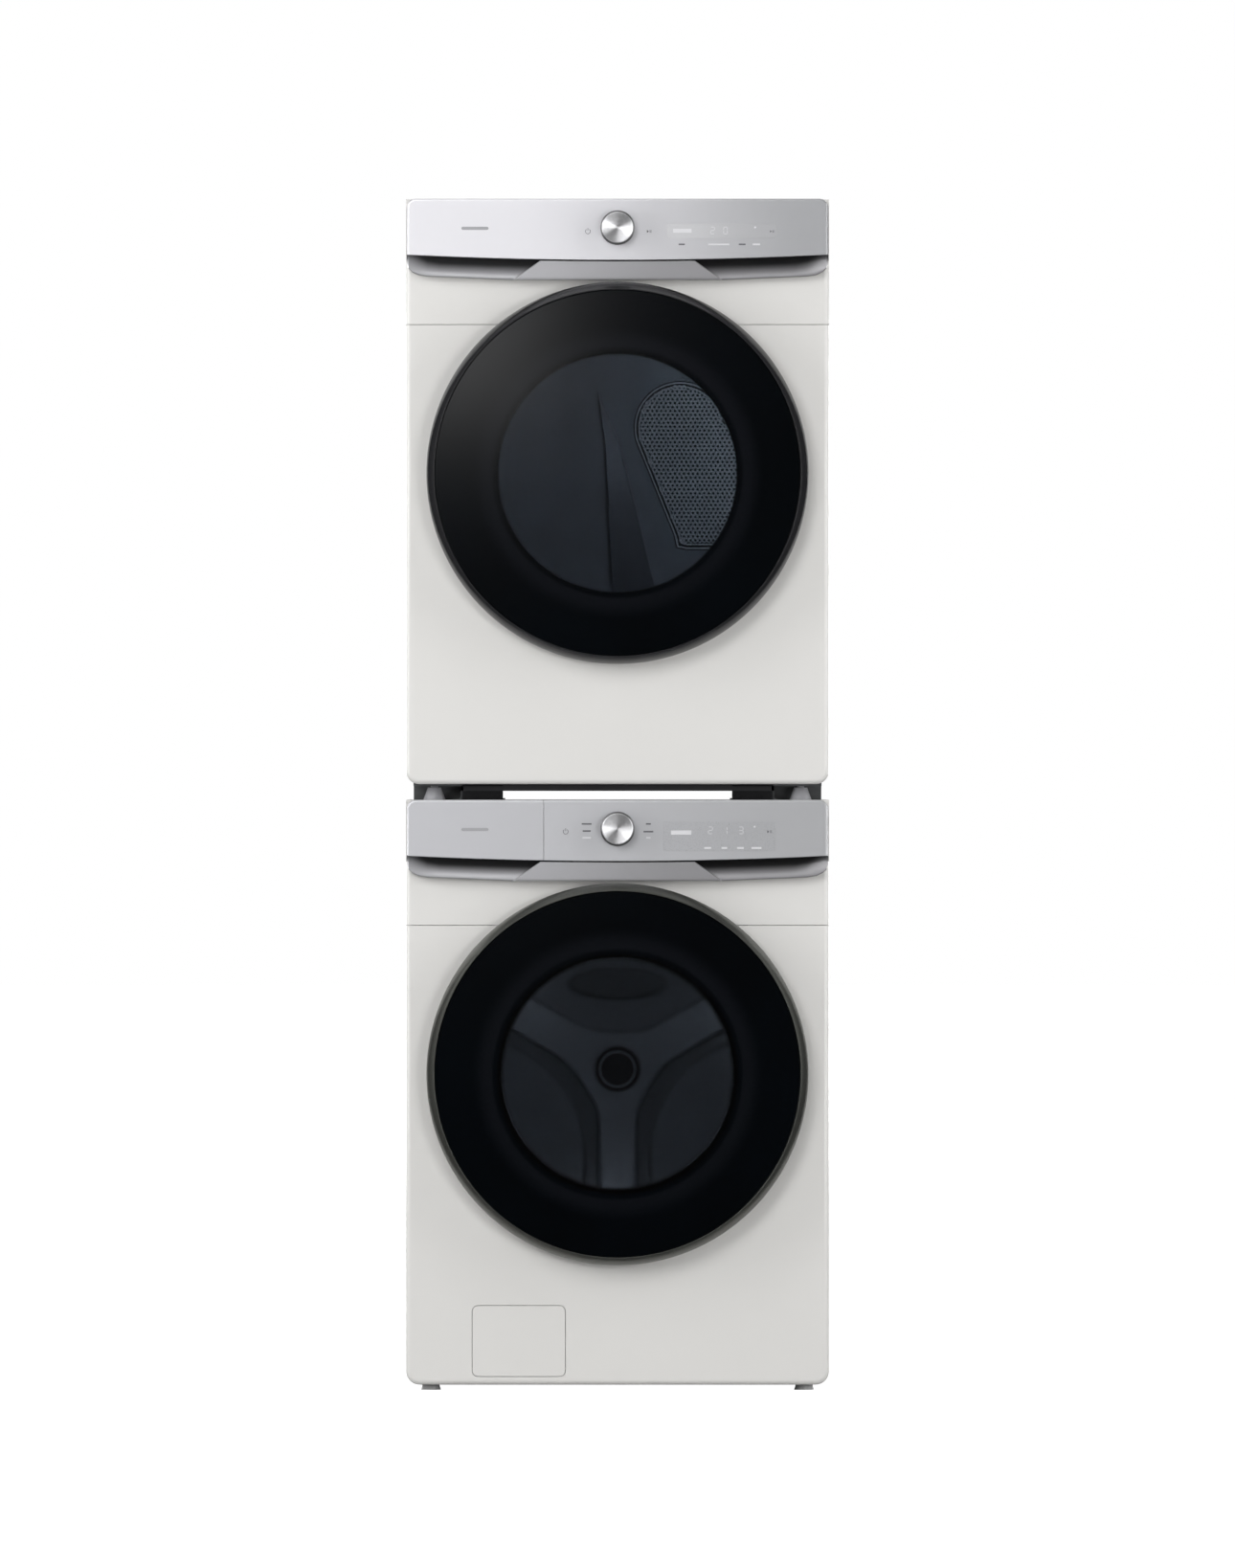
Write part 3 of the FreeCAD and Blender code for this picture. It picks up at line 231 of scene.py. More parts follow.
def radius_from(tree, centre):
    """Distance from a line along Y through a centre, in the piece's own frame."""
    place = add(tree, "TexCoord")
    shift = add(tree, "VectorMath", {1: (centre.x, 0, centre.z)}, operation="SUBTRACT")
    flat = add(tree, "VectorMath", {1: (1, 0, 1)}, operation="MULTIPLY")
    size = add(tree, "VectorMath", operation="LENGTH")
    link(tree, place.outputs["Object"], shift.inputs[0])
    link(tree, shift.outputs["Vector"], flat.inputs[0])
    link(tree, flat.outputs["Vector"], size.inputs[0])
    return size.outputs["Value"]


def shader_mix(tree, factor, one, other):
    mix = add(tree, "MixShader")
    for source, socket in ((factor, "Fac"), (one, 1), (other, 2)):
        link(tree, source, mix.inputs[socket])
    return mix.outputs["Shader"]


def pane(tree, tint, rough, index=1.5):
    """Thin glass: what is behind shows through a tint, with Fresnel gloss on top."""
    clear = add(tree, "BsdfTransparent", {"Color": colour(tint)})
    gloss = add(tree, "BsdfGlossy", {"Roughness": rough})
    fresnel = add(tree, "Fresnel", {"IOR": index})
    return shader_mix(tree, fresnel.outputs["Fac"], clear.outputs["BSDF"],
                      gloss.outputs["BSDF"])


def door_glass_material(name, centre, tint):
    """Outer glass: a tinted window in a black printed border that is paler next to it."""
    material, tree, output = new_material(name)
    radius = radius_from(tree, centre)
    fringe = add(tree, "Math", operation="SUBTRACT")
    link(tree, step(tree, radius, WINDOW_RADIUS + 3 * MM, WINDOW_RADIUS + 8 * MM),
         fringe.inputs[0])
    link(tree, step(tree, radius, WINDOW_RADIUS + 12 * MM, WINDOW_RADIUS + 42 * MM),
         fringe.inputs[1])
    border = add(tree, "Mix", {"B": colour(FRINGE)}, data_type="RGBA")
    link(tree, fringe.outputs["Value"], border.inputs["Factor"])
    drift = noise(tree, coordinates(tree), 5.0)
    link(tree, mixed(tree, drift, shade(INK, 0.7), shade(INK, 1.3)), border.inputs["A"])
    print_ink = add(tree, "BsdfPrincipled", {"Roughness": GLASS_ROUGH})
    link(tree, border.outputs["Result"], print_ink.inputs["Base Color"])
    edge = step(tree, radius, WINDOW_RADIUS - 6 * MM, WINDOW_RADIUS + 1 * MM)
    link(tree, shader_mix(tree, edge, pane(tree, tint, GLASS_ROUGH),
                          print_ink.outputs["BSDF"]), output)
    return material


def clear_glass_material(name, tint):
    material, tree, output = new_material(name)
    link(tree, pane(tree, tint, 0.03, 1.12), output)
    return material


def spun_material(name, rgb, centre, depth_shade):
    """Metal turned on a lathe: fine rings and the fan of highlights that they give, and painted
    shade that darkens the parts further back than the face.
    """
    material, tree, output = new_material(name)
    shader = add(tree, "BsdfPrincipled", {"Metallic": 0.86, "Anisotropic": 0.9,
                                          "Anisotropic Rotation": 0.25})
    rings = add(tree, "Math", {1: LATHE_RINGS}, operation="MULTIPLY")
    wave = add(tree, "Math", operation="SINE")
    link(tree, radius_from(tree, centre), rings.inputs[0])
    link(tree, rings.outputs["Value"], wave.inputs[0])
    grain = noise(tree, coordinates(tree), 240.0)
    turned = mixed(tree, grain, shade(rgb, 0.94), shade(rgb, 1.05))
    link(tree, multiplied(tree, turned, painted_depth_shade(tree, *depth_shade)), shader.inputs["Base Color"])
    link(tree, between(tree, grain, 0.42, 0.47), shader.inputs["Roughness"])
    tangent = add(tree, "Tangent", direction_type="RADIAL", axis="Y")
    link(tree, tangent.outputs["Tangent"], shader.inputs["Tangent"])
    bump = add(tree, "Bump", {"Strength": 0.08, "Distance": 0.1 * MM})
    link(tree, wave.outputs["Value"], bump.inputs["Height"])
    link(tree, bump.outputs["Normal"], shader.inputs["Normal"])
    link(tree, shader.outputs["BSDF"], output)
    return material


# ---------------------------------------------------------------- materials

PAINT = surface("cabinet_enamel", (0.70, 0.692, 0.672), 0.34, vary=0.012, patch=2.5,
                grain=520.0, depth=0.05, edge=0.9, coat=0.22)
# Silver panel paint with painted light and shade: lighter at the left, darker towards the right.
SILVER = {
    "washer": surface("washer_panel_paint_painted_light", (0.60, 0.603, 0.63), 0.34, metal=0.25,
                      vary=0.03, patch=4.0, grain=2600.0, depth=0.05, edge=0.8, coat=0.2,
                      sweep=((0.455, 0.46, 0.475), -0.3, 0.34)),
    "dryer": surface("dryer_panel_paint_painted_light", (0.82, 0.814, 0.85), 0.34, metal=0.25,
                     vary=0.03, patch=4.0, grain=2600.0, depth=0.05, edge=0.8, coat=0.2,
                     sweep=((0.405, 0.41, 0.425), -0.2, 0.34)),
}
# Trim paint with painted light and shade: lighter at the left, darker to the right, and painted
# shade going near-black deep in the finger grips under the panel.
TRIM = surface("trim_silver_painted_light_and_shade", (0.46, 0.46, 0.48), 0.34, metal=0.3, vary=0.05,
               patch=8.0, grain=700.0, depth=0.05, stretch=(0.03, 1, 1), edge=0.4, coat=0.1,
               sweep=((0.315, 0.312, 0.325), -0.17, 0.15),
               depth_shade=(FRONT - 18.5 * MM, FRONT - 6 * MM, 0.04))
GALVANISED = surface("galvanised_sheet", (0.50, 0.51, 0.52), 0.42, metal=0.9, vary=0.12,
                     patch=38.0, grain=300.0, depth=0.08, edge=0.6)
BULKHEAD = surface("bulkhead_sheet", (0.38, 0.395, 0.42), 0.45, metal=0.3, vary=0.08,
                   patch=20.0, grain=300.0, depth=0.06, edge=0.6)
# Pressed wedge on the dryer's back wall: the raised shape is real, its dark colour is painted
# shade.
SHADED_WEDGE_SHEET = surface("pressed_wedge_painted_shade", (0.15, 0.158, 0.175), 0.45, metal=0.3,
                      vary=0.05, patch=20.0, grain=300.0, depth=0.06, edge=2.0)
# Painted shade: a near-black sheet put where only shade shows, behind the dryer's grille and in
# the rear air slots.
PAINTED_SHADE_SHEET = surface("painted_shade_black", (0.05, 0.052, 0.056), 0.6, vary=0.1, patch=20.0)
# Painted shade: the dryer's base pan, in the dark gap above the washer, made near-black.
SHADED_UNDERSIDE = surface("base_sheet_painted_shade", (0.022, 0.022, 0.024), 0.5, vary=0.1, patch=20.0,
                    grain=500.0, depth=0.1, shine=0.2)
REAR_SHEET = surface("rear_sheet_zinc", (0.46, 0.465, 0.47), 0.42, metal=0.7, vary=0.06,
                     patch=26.0, grain=350.0, depth=0.05, edge=0.6)
DRUM_STEEL = surface("drum_steel", (0.58, 0.585, 0.59), 0.28, metal=1.0, vary=0.04,
                     patch=10.0, grain=700.0, depth=0.06, stretch=(1, 0.04, 1), edge=0.4)
PLASTIC = surface("grey_moulding", (0.20, 0.205, 0.21), 0.48, vary=0.05, patch=14.0,
                  grain=1300.0, depth=0.16, edge=0.8)
PALE_PLASTIC = surface("pale_moulding", (0.62, 0.63, 0.64), 0.38, vary=0.03, patch=14.0,
                       grain=1300.0, depth=0.10, edge=0.8)
RUBBER = surface("grey_rubber", (0.115, 0.117, 0.12), 0.62, vary=0.08, patch=20.0,
                 grain=900.0, depth=0.16, edge=0.8)
CAST = surface("raw_casting", (0.36, 0.365, 0.37), 0.5, metal=0.9, vary=0.10, patch=40.0,
               grain=260.0, depth=0.35, edge=1.2)
MOTOR = surface("motor_lacquer", (0.055, 0.056, 0.06), 0.45, metal=0.3, vary=0.1, patch=20.0,
                grain=600.0, depth=0.12)
BRACKET = surface("black_powder_coat", (0.006, 0.006, 0.007), 0.5, vary=0.15, patch=40.0,
                  grain=1500.0, depth=0.35, shine=0.12,
                  sweep=((0.085, 0.088, 0.09), 0.250, 0.256, True))
FOOT = surface("foot_grey_moulding", (0.27, 0.27, 0.285), 0.5, vary=0.08, patch=60.0,
               grain=1500.0, depth=0.15)
# Painted light: the washer's feet, the same moulding as FOOT, made lighter where they stand lit on
# the floor.
LIT_WASHER_FOOT = surface("washer_foot_painted_light", (0.52, 0.52, 0.52), 0.5, vary=0.08,
                      patch=60.0, grain=1500.0, depth=0.15)
ZINC = surface("zinc_plate", (0.46, 0.46, 0.45), 0.3, metal=1.0, vary=0.08, patch=60.0,
               grain=900.0, depth=0.06, edge=0.5)
RIM = {
    "washer": surface("washer_rim_paint", (0.11, 0.113, 0.103), 0.30, metal=0.75, vary=0.05,
                      patch=12.0, grain=2400.0, depth=0.06, edge=0.8, coat=0.3),
    "dryer": surface("dryer_rim_paint", (0.018, 0.018, 0.020), 0.22, metal=0.2, vary=0.05,
                     patch=12.0, grain=2400.0, depth=0.04, edge=0.8, coat=0.5),
}
WHITE_INK = surface("white_ink", (0.65, 0.65, 0.67), 0.5, vary=0.02)
GREY_INK = surface("grey_ink", (0.12, 0.12, 0.13), 0.5, vary=0.04)
PALE_INK = surface("badge_grey", (0.34, 0.34, 0.355), 0.5, vary=0.03)
# Smoked display windows with painted light and shade: lighter at the left, darker towards the
# right, as on the panels.
LENS = {
    "washer": surface("washer_display_smoke_painted_light", (0.58, 0.583, 0.61), 0.30, metal=0.25,
                      vary=0.02, coat=0.2, sweep=((0.445, 0.45, 0.465), -0.3, 0.34)),
    "dryer": surface("dryer_display_smoke_painted_light", (0.56, 0.562, 0.577), 0.30, vary=0.02, coat=0.2,
                     sweep=((0.40, 0.402, 0.416), 0.06, 0.26)),
}
BASKET_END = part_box("washer_drum")[1].y
# Drum back steel with painted shade: the deeper parts of the pressed back, between the raised
# arms, are darker.
BASKET_BACK = surface("basket_back_steel_painted_shade", (0.50, 0.52, 0.55), 0.38, metal=0.25, vary=0.06,
                      patch=9.0, grain=700.0, depth=0.05, edge=0.4,
                      depth_shade=(BASKET_END - 14 * MM, BASKET_END - 2 * MM, 0.46))
# Hub cap moulding with painted shade: its deeper middle is much darker than its raised ring.
HUB_CAP = surface("hub_cap_moulding_painted_shade", (0.34, 0.35, 0.37), 0.35, vary=0.05, patch=30.0,
                  grain=900.0, depth=0.08, edge=0.3,
                  depth_shade=(BASKET_END - 22 * MM, BASKET_END - 18.5 * MM, 0.16))
GRILLE = surface("grille_sheet", (0.86, 0.88, 0.90), 0.45, metal=0.1, vary=0.06, patch=30.0,
                 grain=900.0, depth=0.05, edge=0.2)

CAD_FINISHES = {
    PAINT: ("side_panel_left", "side_panel_right", "top_plate", "front_panel",
            "front_header", "filter_door"),
    GALVANISED: ("base_pan", "front_bulkhead", "exhaust_duct"),
    BULKHEAD: ("rear_bulkhead",),
    REAR_SHEET: ("rear_panel",),
    DRUM_STEEL: ("drum",),
    PLASTIC: ("tub", "drum_lifters", "drum_baffles", "drawer_housing", "drain_pump",
              "blower_wheel", "filter_cap"),
    PALE_PLASTIC: ("drawer_tray", "inlet_valves", "lint_filter"),
    RUBBER: ("drum_belt", "roller_left", "roller_right", "door_gasket"),
    CAST: ("drum_spider",),
    MOTOR: ("motor_stator", "motor_rotor", "drive_motor", "tub_suspension"),
    ZINC: ("door_hinge", "door_latch"),
    FOOT: ("leveling_feet",),
}


def paint_frame():
    """Give every carried-over CAD node its finish."""
    finish_of = {unit + "_" + piece: material for material, pieces in CAD_FINISHES.items()
                 for piece in pieces for unit in UNITS}
    finish_of.update({unit + "_door_ring": RIM[unit] for unit in UNITS})
    finish_of.update({unit + "_control_panel": SILVER[unit] for unit in UNITS})
    finish_of["washer_drawer_front"] = SILVER["washer"]
    # The dryer's base pan gets near-black painted shade.
    finish_of["dryer_base_pan"] = SHADED_UNDERSIDE
    # The washer's feet get a lighter copy of the foot moulding: painted light.
    finish_of["washer_leveling_feet"] = LIT_WASHER_FOOT
    finish_of.update(stacking_bracket_left=BRACKET, stacking_bracket_right=BRACKET,
                     stacking_screws=ZINC)
    for name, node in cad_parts.items():
        if name in finish_of:
            node.data.materials.clear()
            node.data.materials.append(finish_of[name])


# ---------------------------------------------------------------- mesh helpers

def piece_from(name, build, material, body, replaced=(), sharp=35):
    """Make a mesh piece: build fills a bmesh, then the piece gets its finish and its body."""
    mesh = bpy.data.meshes.new(name)
    shape = bmesh.new()
    build(shape)
    bmesh.ops.remove_doubles(shape, verts=shape.verts, dist=1e-6)
    bmesh.ops.recalc_face_normals(shape, faces=shape.faces)
    shape.to_mesh(mesh)
    shape.free()
    for face in mesh.polygons:
        face.use_smooth = True
    mesh.set_sharp_from_angle(angle=math.radians(sharp))
    mesh.materials.append(material)
    made = bpy.data.objects.new(name, mesh)
    bpy.context.scene.collection.objects.link(made)
    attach(made, body)
    if replaced:
        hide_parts(*replaced)
    return made


def bridge(shape, one, other):
    """Join two closed rings of as many points with faces."""
    for number in range(len(one)):
        following = (number + 1) % len(one)
        shape.faces.new((one[number], one[following], other[following], other[number]))


def hoop(shape, loops):
    """Join closed rings one to the next, and the last to the first."""
    for one, other in zip(loops, loops[1:] + loops[:1]):
        bridge(shape, one, other)


def lathe(shape, centre, profile, sides=160, closed=True):
    """Turn (depth, radius) points round a line along Y through a centre. A point on the
    line closes the shape with a fan."""
    rings = []
    for depth, radius in profile:
        if radius < 1e-7:
            rings.append([shape.verts.new((centre.x, depth, centre.z))])
            continue
        rings.append([shape.verts.new((
            centre.x + radius * math.cos(2 * math.pi * side / sides), depth,
            centre.z + radius * math.sin(2 * math.pi * side / sides)))
            for side in range(sides)])
    pairs = list(zip(rings, rings[1:]))
    if closed:
        pairs.append((rings[-1], rings[0]))
    for one, other in pairs:
        if len(one) == len(other) == sides:
            bridge(shape, one, other)
        elif len(one) != len(other):
            for side in range(sides):
                following = (side + 1) % sides
                if len(one) == 1:
                    shape.faces.new((one[0], other[side], other[following]))
                else:
                    shape.faces.new((one[side], one[following], other[0]))


def rounded(points, radius, steps=5):
    """Round the corners of an open run of 2D points."""
    made = [points[0]]
    for before, here, after in zip(points, points[1:], points[2:]):
        a, b, c = (Vector(spot) for spot in (before, here, after))
        back, ahead = a - b, c - b
        reach = min(radius, back.length * 0.45, ahead.length * 0.45)
        start, end = b + back.normalized() * reach, b + ahead.normalized() * reach
        for number in range(steps + 1):
            part = number / steps
            spot = start * (1 - part) ** 2 + b * 2 * part * (1 - part) + end * part ** 2
            made.append((spot.x, spot.y))
    made.append(points[-1])
    return made


def slab(shape, outline, low, high):
    """A flat plate in the XZ plane from an outline, between two depths."""
    back = [shape.verts.new((x, high, z)) for x, z in outline]
    face = [shape.verts.new((x, low, z)) for x, z in outline]
    shape.faces.new(face)
    shape.faces.new(back[::-1])
    bridge(shape, face, back)


def disc(x, z, radius, sides=24):
    return [(x + radius * math.cos(2 * math.pi * side / sides),
             z + radius * math.sin(2 * math.pi * side / sides)) for side in range(sides)]


def bar(x, z, width, height, radius=0.3 * MM, steps=3):
    """Rounded rectangle about a middle."""
    outline = []
    radius = min(radius, width / 2.1, height / 2.1)
    for turn, (across, up) in enumerate(((1, 1), (-1, 1), (-1, -1), (1, -1))):
        for number in range(steps + 1):
            angle = math.pi / 2 * (turn + number / steps)
            outline.append((x + across * (width / 2 - radius) + radius * math.cos(angle),
                            z + up * (height / 2 - radius) + radius * math.sin(angle)))
    return outline


def staggered(low, high, left, right, pitch):
    """Middles of staggered rows of holes: (across, up) inside a rectangle."""
    rows = int((high - low) / (pitch * math.sqrt(3) / 2))
    columns = int((right - left) / pitch)
    return [(left + (column + (row % 2) / 2) * pitch, low + row * pitch * math.sqrt(3) / 2)
            for row in range(rows) for column in range(columns)]


def perforated(shape, middles, pitch, hole, wall, place):
    """Sheet with round holes: a hexagon tile with a twelve-sided hole on each middle.
    place(across, up) puts a point of the flat sheet where it belongs."""
    for across, up in middles:
        outer, inner = [], []
        for number in range(12):
            angle = math.pi / 6 * number
            reach = pitch / math.sqrt(3) if number % 2 else pitch / 2
            for ring, size in ((outer, reach), (inner, hole)):
                ring.append(shape.verts.new(place(across + size * math.cos(angle),
                                                  up + size * math.sin(angle))))
        bridge(shape, outer, inner)
    bmesh.ops.remove_doubles(shape, verts=shape.verts, dist=2e-5)
    bmesh.ops.recalc_face_normals(shape, faces=shape.faces)
    bmesh.ops.solidify(shape, geom=shape.faces[:], thickness=wall)


# ---------------------------------------------------------------- drums

ARMS = [math.radians(turn) for turn in (-90, 30, 150)]
ARM_HALF, FILLET = 30, 62                 # half width of a pressed arm, its run-out, mm
ARM_LIFT, FIELD_LIFT, EYE_LIFT = 13, 5.5, 9
FIELDS = ((-30, 93), (210, 93), (90, 53))  # raised field: heading, start from the middle
FIELD_RADIUS = 205
EYE = (141, 85, 27)                       # oval dip over the middle: height, half axes


def smoothed(value, low, high):
    part = min(1.0, max(0.0, (value - low) / (high - low)))
    return part * part * (3 - 2 * part)


def soft_min(one, other, reach):
    part = max(reach - abs(one - other), 0.0) / reach
    return min(one, other) - part * part * reach / 4


def pressed(x, z):
    """How far the drum's back is pressed forwards at a point, in mm from its middle."""
    gap = 1e9
    for turn in ARMS:
        along_arm = max(0.0, x * math.cos(turn) + z * math.sin(turn))
        aside = math.hypot(x - along_arm * math.cos(turn), z - along_arm * math.sin(turn))
        gap = soft_min(gap, aside - ARM_HALF, FILLET)
    arm = 1 - smoothed(gap, -3, 5)
    field = 0.0
    for degrees, start in FIELDS:
        heading = math.radians(degrees)
        middle = start + FIELD_RADIUS
        rim = math.hypot(x - middle * math.cos(heading),
                         z - middle * math.sin(heading)) - FIELD_RADIUS
        field = max(field, 1 - smoothed(rim, -5, 3))
    up, wide, high = EYE
    eye = 1 - smoothed(math.hypot(x / wide, (z - up) / high), 0.82, 1.02)
    return ARM_LIFT * arm + (1 - arm) * field * (FIELD_LIFT - EYE_LIFT * eye)


def washer_basket(place):
    """Perforated steel basket with a pressed back, and the cap on its hub."""
    centre = place.door
    low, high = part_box("washer_drum")
    outer = (high.z - low.z) / 2
    wall = 1.6 * MM
    inner = outer - wall
    mouth = 212 * MM
    columns = 72
    pitch = 2 * math.pi * inner / columns
    front, back = low.y + 16 * MM, high.y - 14 * MM

    def sleeve(shape):
        middles = staggered(front, back, 0.0, 2 * math.pi * inner + pitch / 4, pitch)
        perforated(shape, middles, pitch, pitch * 0.13, wall, lambda across, up: (
            centre.x + inner * math.cos(across / inner), up,
            centre.z + inner * math.sin(across / inner)))
        lip = [(low.y, mouth), (low.y + 1 * MM, outer - 8 * MM), (low.y + 8 * MM, outer),
               (front + 6 * MM, outer), (front + 6 * MM, inner), (low.y + 9 * MM, inner),
               (low.y + 2.6 * MM, outer - 9 * MM), (low.y + 1.6 * MM, mouth)]
        lathe(shape, centre, lip)
        lathe(shape, centre, [(back - 16 * MM, inner), (high.y - 2 * MM, inner),
                              (high.y - 2 * MM, outer), (back - 16 * MM, outer)])

    piece_from("washer_basket_wall", sleeve, DRUM_STEEL, "washer_basket",
               ["washer_drum"])

    def back_disc(shape):
        sides, steps, start = 240, 84, 30 * MM
        rings = []
        for number in range(steps + 1):
            reach = start + (inner - start) * number / steps
            rings.append([])
            for side in range(sides):
                x = reach * math.cos(2 * math.pi * side / sides)
                z = reach * math.sin(2 * math.pi * side / sides)
                rim = 9 * smoothed(reach, inner - 9 * MM, inner)
                lift = (pressed(x / MM, z / MM) * (1 - smoothed(reach, 0.19, 0.24)) + rim) * MM
                rings[-1].append(shape.verts.new((
                    centre.x + x, high.y - 1.6 * MM - lift, centre.z + z)))
        for one, other in zip(rings, rings[1:]):
            bridge(shape, one, other)
        bmesh.ops.recalc_face_normals(shape, faces=shape.faces)
        bmesh.ops.solidify(shape, geom=shape.faces[:], thickness=-1.2 * MM)

    piece_from("washer_basket_back", back_disc, BASKET_BACK, "washer_basket")

    hub = high.y - 15 * MM
    cap = [(-3.0, 0.0), (-3.0, 24.0), (-3.6, 25.6), (-7.0, 27.2), (-7.2, 29.5), (-6.0, 31.0),
           (-3.4, 32.5), (-3.2, 35.0), (-5.5, 36.2), (-5.5, 37.4), (0.5, 38.4), (4.0, 38.4),
           (4.0, 0.0)]
    piece_from("washer_hub_cap",
               lambda shape: lathe(shape, centre, [(hub + y * MM, r * MM) for y, r in cap],
                                   closed=False),
               HUB_CAP, "washer_basket")


GRILLE_LOBE = (104.0, 86.0, 66.0)         # round head of the inlet: across, up, radius, mm
GRILLE_FOOT = -105.0                      # its lower edge
GRILLE_RIGHT = 215.0
GRILLE_DEPTH = 642 * MM                   # behind the front sheet


def grille_outline(grow):
    """Pear-shaped edge of the dryer's air inlet, grown outwards, in mm from the middle."""
    across, up, radius = GRILLE_LOBE
    run = []
    for number in range(41):
        angle = math.radians(8 + 190 * number / 40)
        run.append((across + (radius + grow) * math.cos(angle),
                    up + (radius + grow) * math.sin(angle)))
    left = 36 + (up - GRILLE_FOOT) * 0.36
    run += [(left - grow, GRILLE_FOOT + 12), (left - grow + 3.5, GRILLE_FOOT + 3 - grow),
            (left + 10, GRILLE_FOOT - grow)]
    right = GRILLE_RIGHT + grow
    run += [(right - 18, GRILLE_FOOT - grow), (right - 4, GRILLE_FOOT + 10),
            (right + 10, -30.0), (right + 9, 40.0)]
    return [(x * MM, z * MM) for x, z in run]


def inside(spot, outline):
    """Whether a point lies inside a closed outline."""
    x, z = spot
    answer = False
    for one, other in zip(outline, outline[1:] + outline[:1]):
        if (one[1] > z) != (other[1] > z):
            crossing = one[0] + (z - one[1]) / (other[1] - one[1]) * (other[0] - one[0])
            answer ^= x < crossing
    return answer


def dryer_grille(place):
    """Fine grille over the air holes, its double raised border, a near-black slab of painted shade
    behind it, and a pressed wedge darkened with painted shade.
    """
    centre = place.door
    face = min(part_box("dryer_rear_panel")[0].y, place.front + GRILLE_DEPTH)
    pitch = 7.5 * MM

    def sheet(shape):
        middles = [spot for spot in staggered(-0.12, 0.17, 0.02, 0.24, pitch)
                   if inside(spot, grille_outline(2.0))]
        perforated(shape, middles, pitch, 2.1 * MM, 0.8 * MM, lambda across, up: (
            centre.x + across, face - 4 * MM, centre.z + up))

    piece_from("dryer_air_grille", sheet, GRILLE, "root")

    # Painted shade: near-black slab behind the grille, seen through its holes and as a dark line
    # round its border.
    def shadow(shape):
        slab(shape, [(centre.x + x, centre.z + z) for x, z in grille_outline(11.6)],
             face - 0.9 * MM, face - 0.2 * MM)

    piece_from("dryer_grille_painted_shade", shadow, PAINTED_SHADE_SHEET, "root")

    def border(shape):
        for grow, wide, high in ((0.5, 3.0, 6.0), (7.0, 2.6, 3.5)):
            inner = grille_outline(grow)
            outer = grille_outline(grow + wide)
            loops = []
            for run, depth in ((inner, face), (inner, face - high * MM),
                               (outer, face - high * MM), (outer, face)):
                loops.append([shape.verts.new((centre.x + x, depth, centre.z + z))
                              for x, z in run])
            hoop(shape, loops)

    piece_from("dryer_grille_border", border, GRILLE, "root")

    def wedge(shape):
        spots = [(-34, 150, 1), (-20, 60, 9), (-14, -60, 9), (-8, -190, 9),
                 (62, -180, 1), (30, -50, 1), (2, 60, 1)]
        front = [shape.verts.new((centre.x + x * MM, face - lift * MM, centre.z + z * MM))
                 for x, z, lift in spots]
        back = [shape.verts.new((centre.x + x * MM, face, centre.z + z * MM))
                for x, z, lift in spots]
        for corners in ((0, 1, 6), (1, 2, 5, 6), (2, 3, 4, 5)):
            shape.faces.new([front[number] for number in corners])
            shape.faces.new([back[number] for number in reversed(corners)])
        bridge(shape, front, back)

    piece_from("dryer_pressed_wedge", wedge, SHADED_WEDGE_SHEET, "root")


# ---------------------------------------------------------------- doors

BOWL_WALL = 5 * MM
BOWLS = {                                 # (depth behind the front sheet, radius), mm
    "washer": ((0, 202), (60, 188), (96, 160), (104, 140), (104, 0)),
    "dryer": ((0, 202), (34, 194), (46, 180), (46, 0)),
}


def door_pieces(place):
    """Domed outer glass with its print, and the clear bowl behind its window."""
    unit, centre = place.unit, place.door
    front, glass = place.glass_front, place.glass_radius
    body = unit + "_door"
    dome, thick, steps = 3.2 * MM, 5 * MM, 24
    run = [(front + dome * (number / steps) ** 2, glass * 0.996 * number / steps)
           for number in range(steps + 1)]
    run += [(front + dome + 1.0 * MM, glass), (front + thick, glass), (front + thick, 0)]
    piece_from(unit + "_outer_glass", lambda shape: lathe(shape, centre, run, 240, False),
               door_glass_material(unit + "_door_glass_print", centre, TINT[unit]),
               body, [unit + "_door_glass"])
    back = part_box(unit + "_door_window")[1].y
    bowl = rounded([(place.front + y * MM, r * MM) for y, r in BOWLS[unit]], 14 * MM, 8)
    inner = [(min(y, back) - BOWL_WALL, max(0, r - BOWL_WALL)) for y, r in reversed(bowl)]
    flange = [(place.front + y * MM, r * MM)
              for y, r in ((-12, 197), (-12, 219), (-6.2, 219), (-6.2, 203))]
    piece_from(unit + "_window_bowl",
               lambda shape: lathe(shape, centre, flange + bowl + inner, 160),
               clear_glass_material(unit + "_window_glass", (0.90, 0.92, 0.93)),
               body, [unit + "_door_window"])


def knob_pieces(place):
    """Cycle knob: shallow cone face with a bright chamfer and a side darkened by painted shade."""
    unit, centre, front = place.unit, place.knob, place.knob_front
    radius = place.knob_radius + 1.4 * MM
    face, panel = radius - 3.6 * MM, place.panel_face
    run = [(front + 2.6 * MM, 0), (front + 0.8 * MM, face - 1.4 * MM),
           (front + 0.3 * MM, face - 0.5 * MM), (front + 0.4 * MM, face),
           (front + 1.2 * MM, face + 0.5 * MM), (panel - 5 * MM, radius - 0.4 * MM),
           (panel - 3.4 * MM, radius), (panel - 1.6 * MM, radius),
           (panel - 0.8 * MM, radius - 0.6 * MM), (panel - 0.4 * MM, radius - 2 * MM),
           (panel - 0.4 * MM, 0)]
    piece_from(unit + "_knob_cap", lambda shape: lathe(shape, centre, run, 200, False),
               spun_material(unit + "_knob_spun_painted_shade", (0.82, 0.82, 0.835), centre,
                             (front + 1.2 * MM, front + 5 * MM, 0.22)),
               unit + "_cycle_knob", [unit + "_knob"], sharp=25)


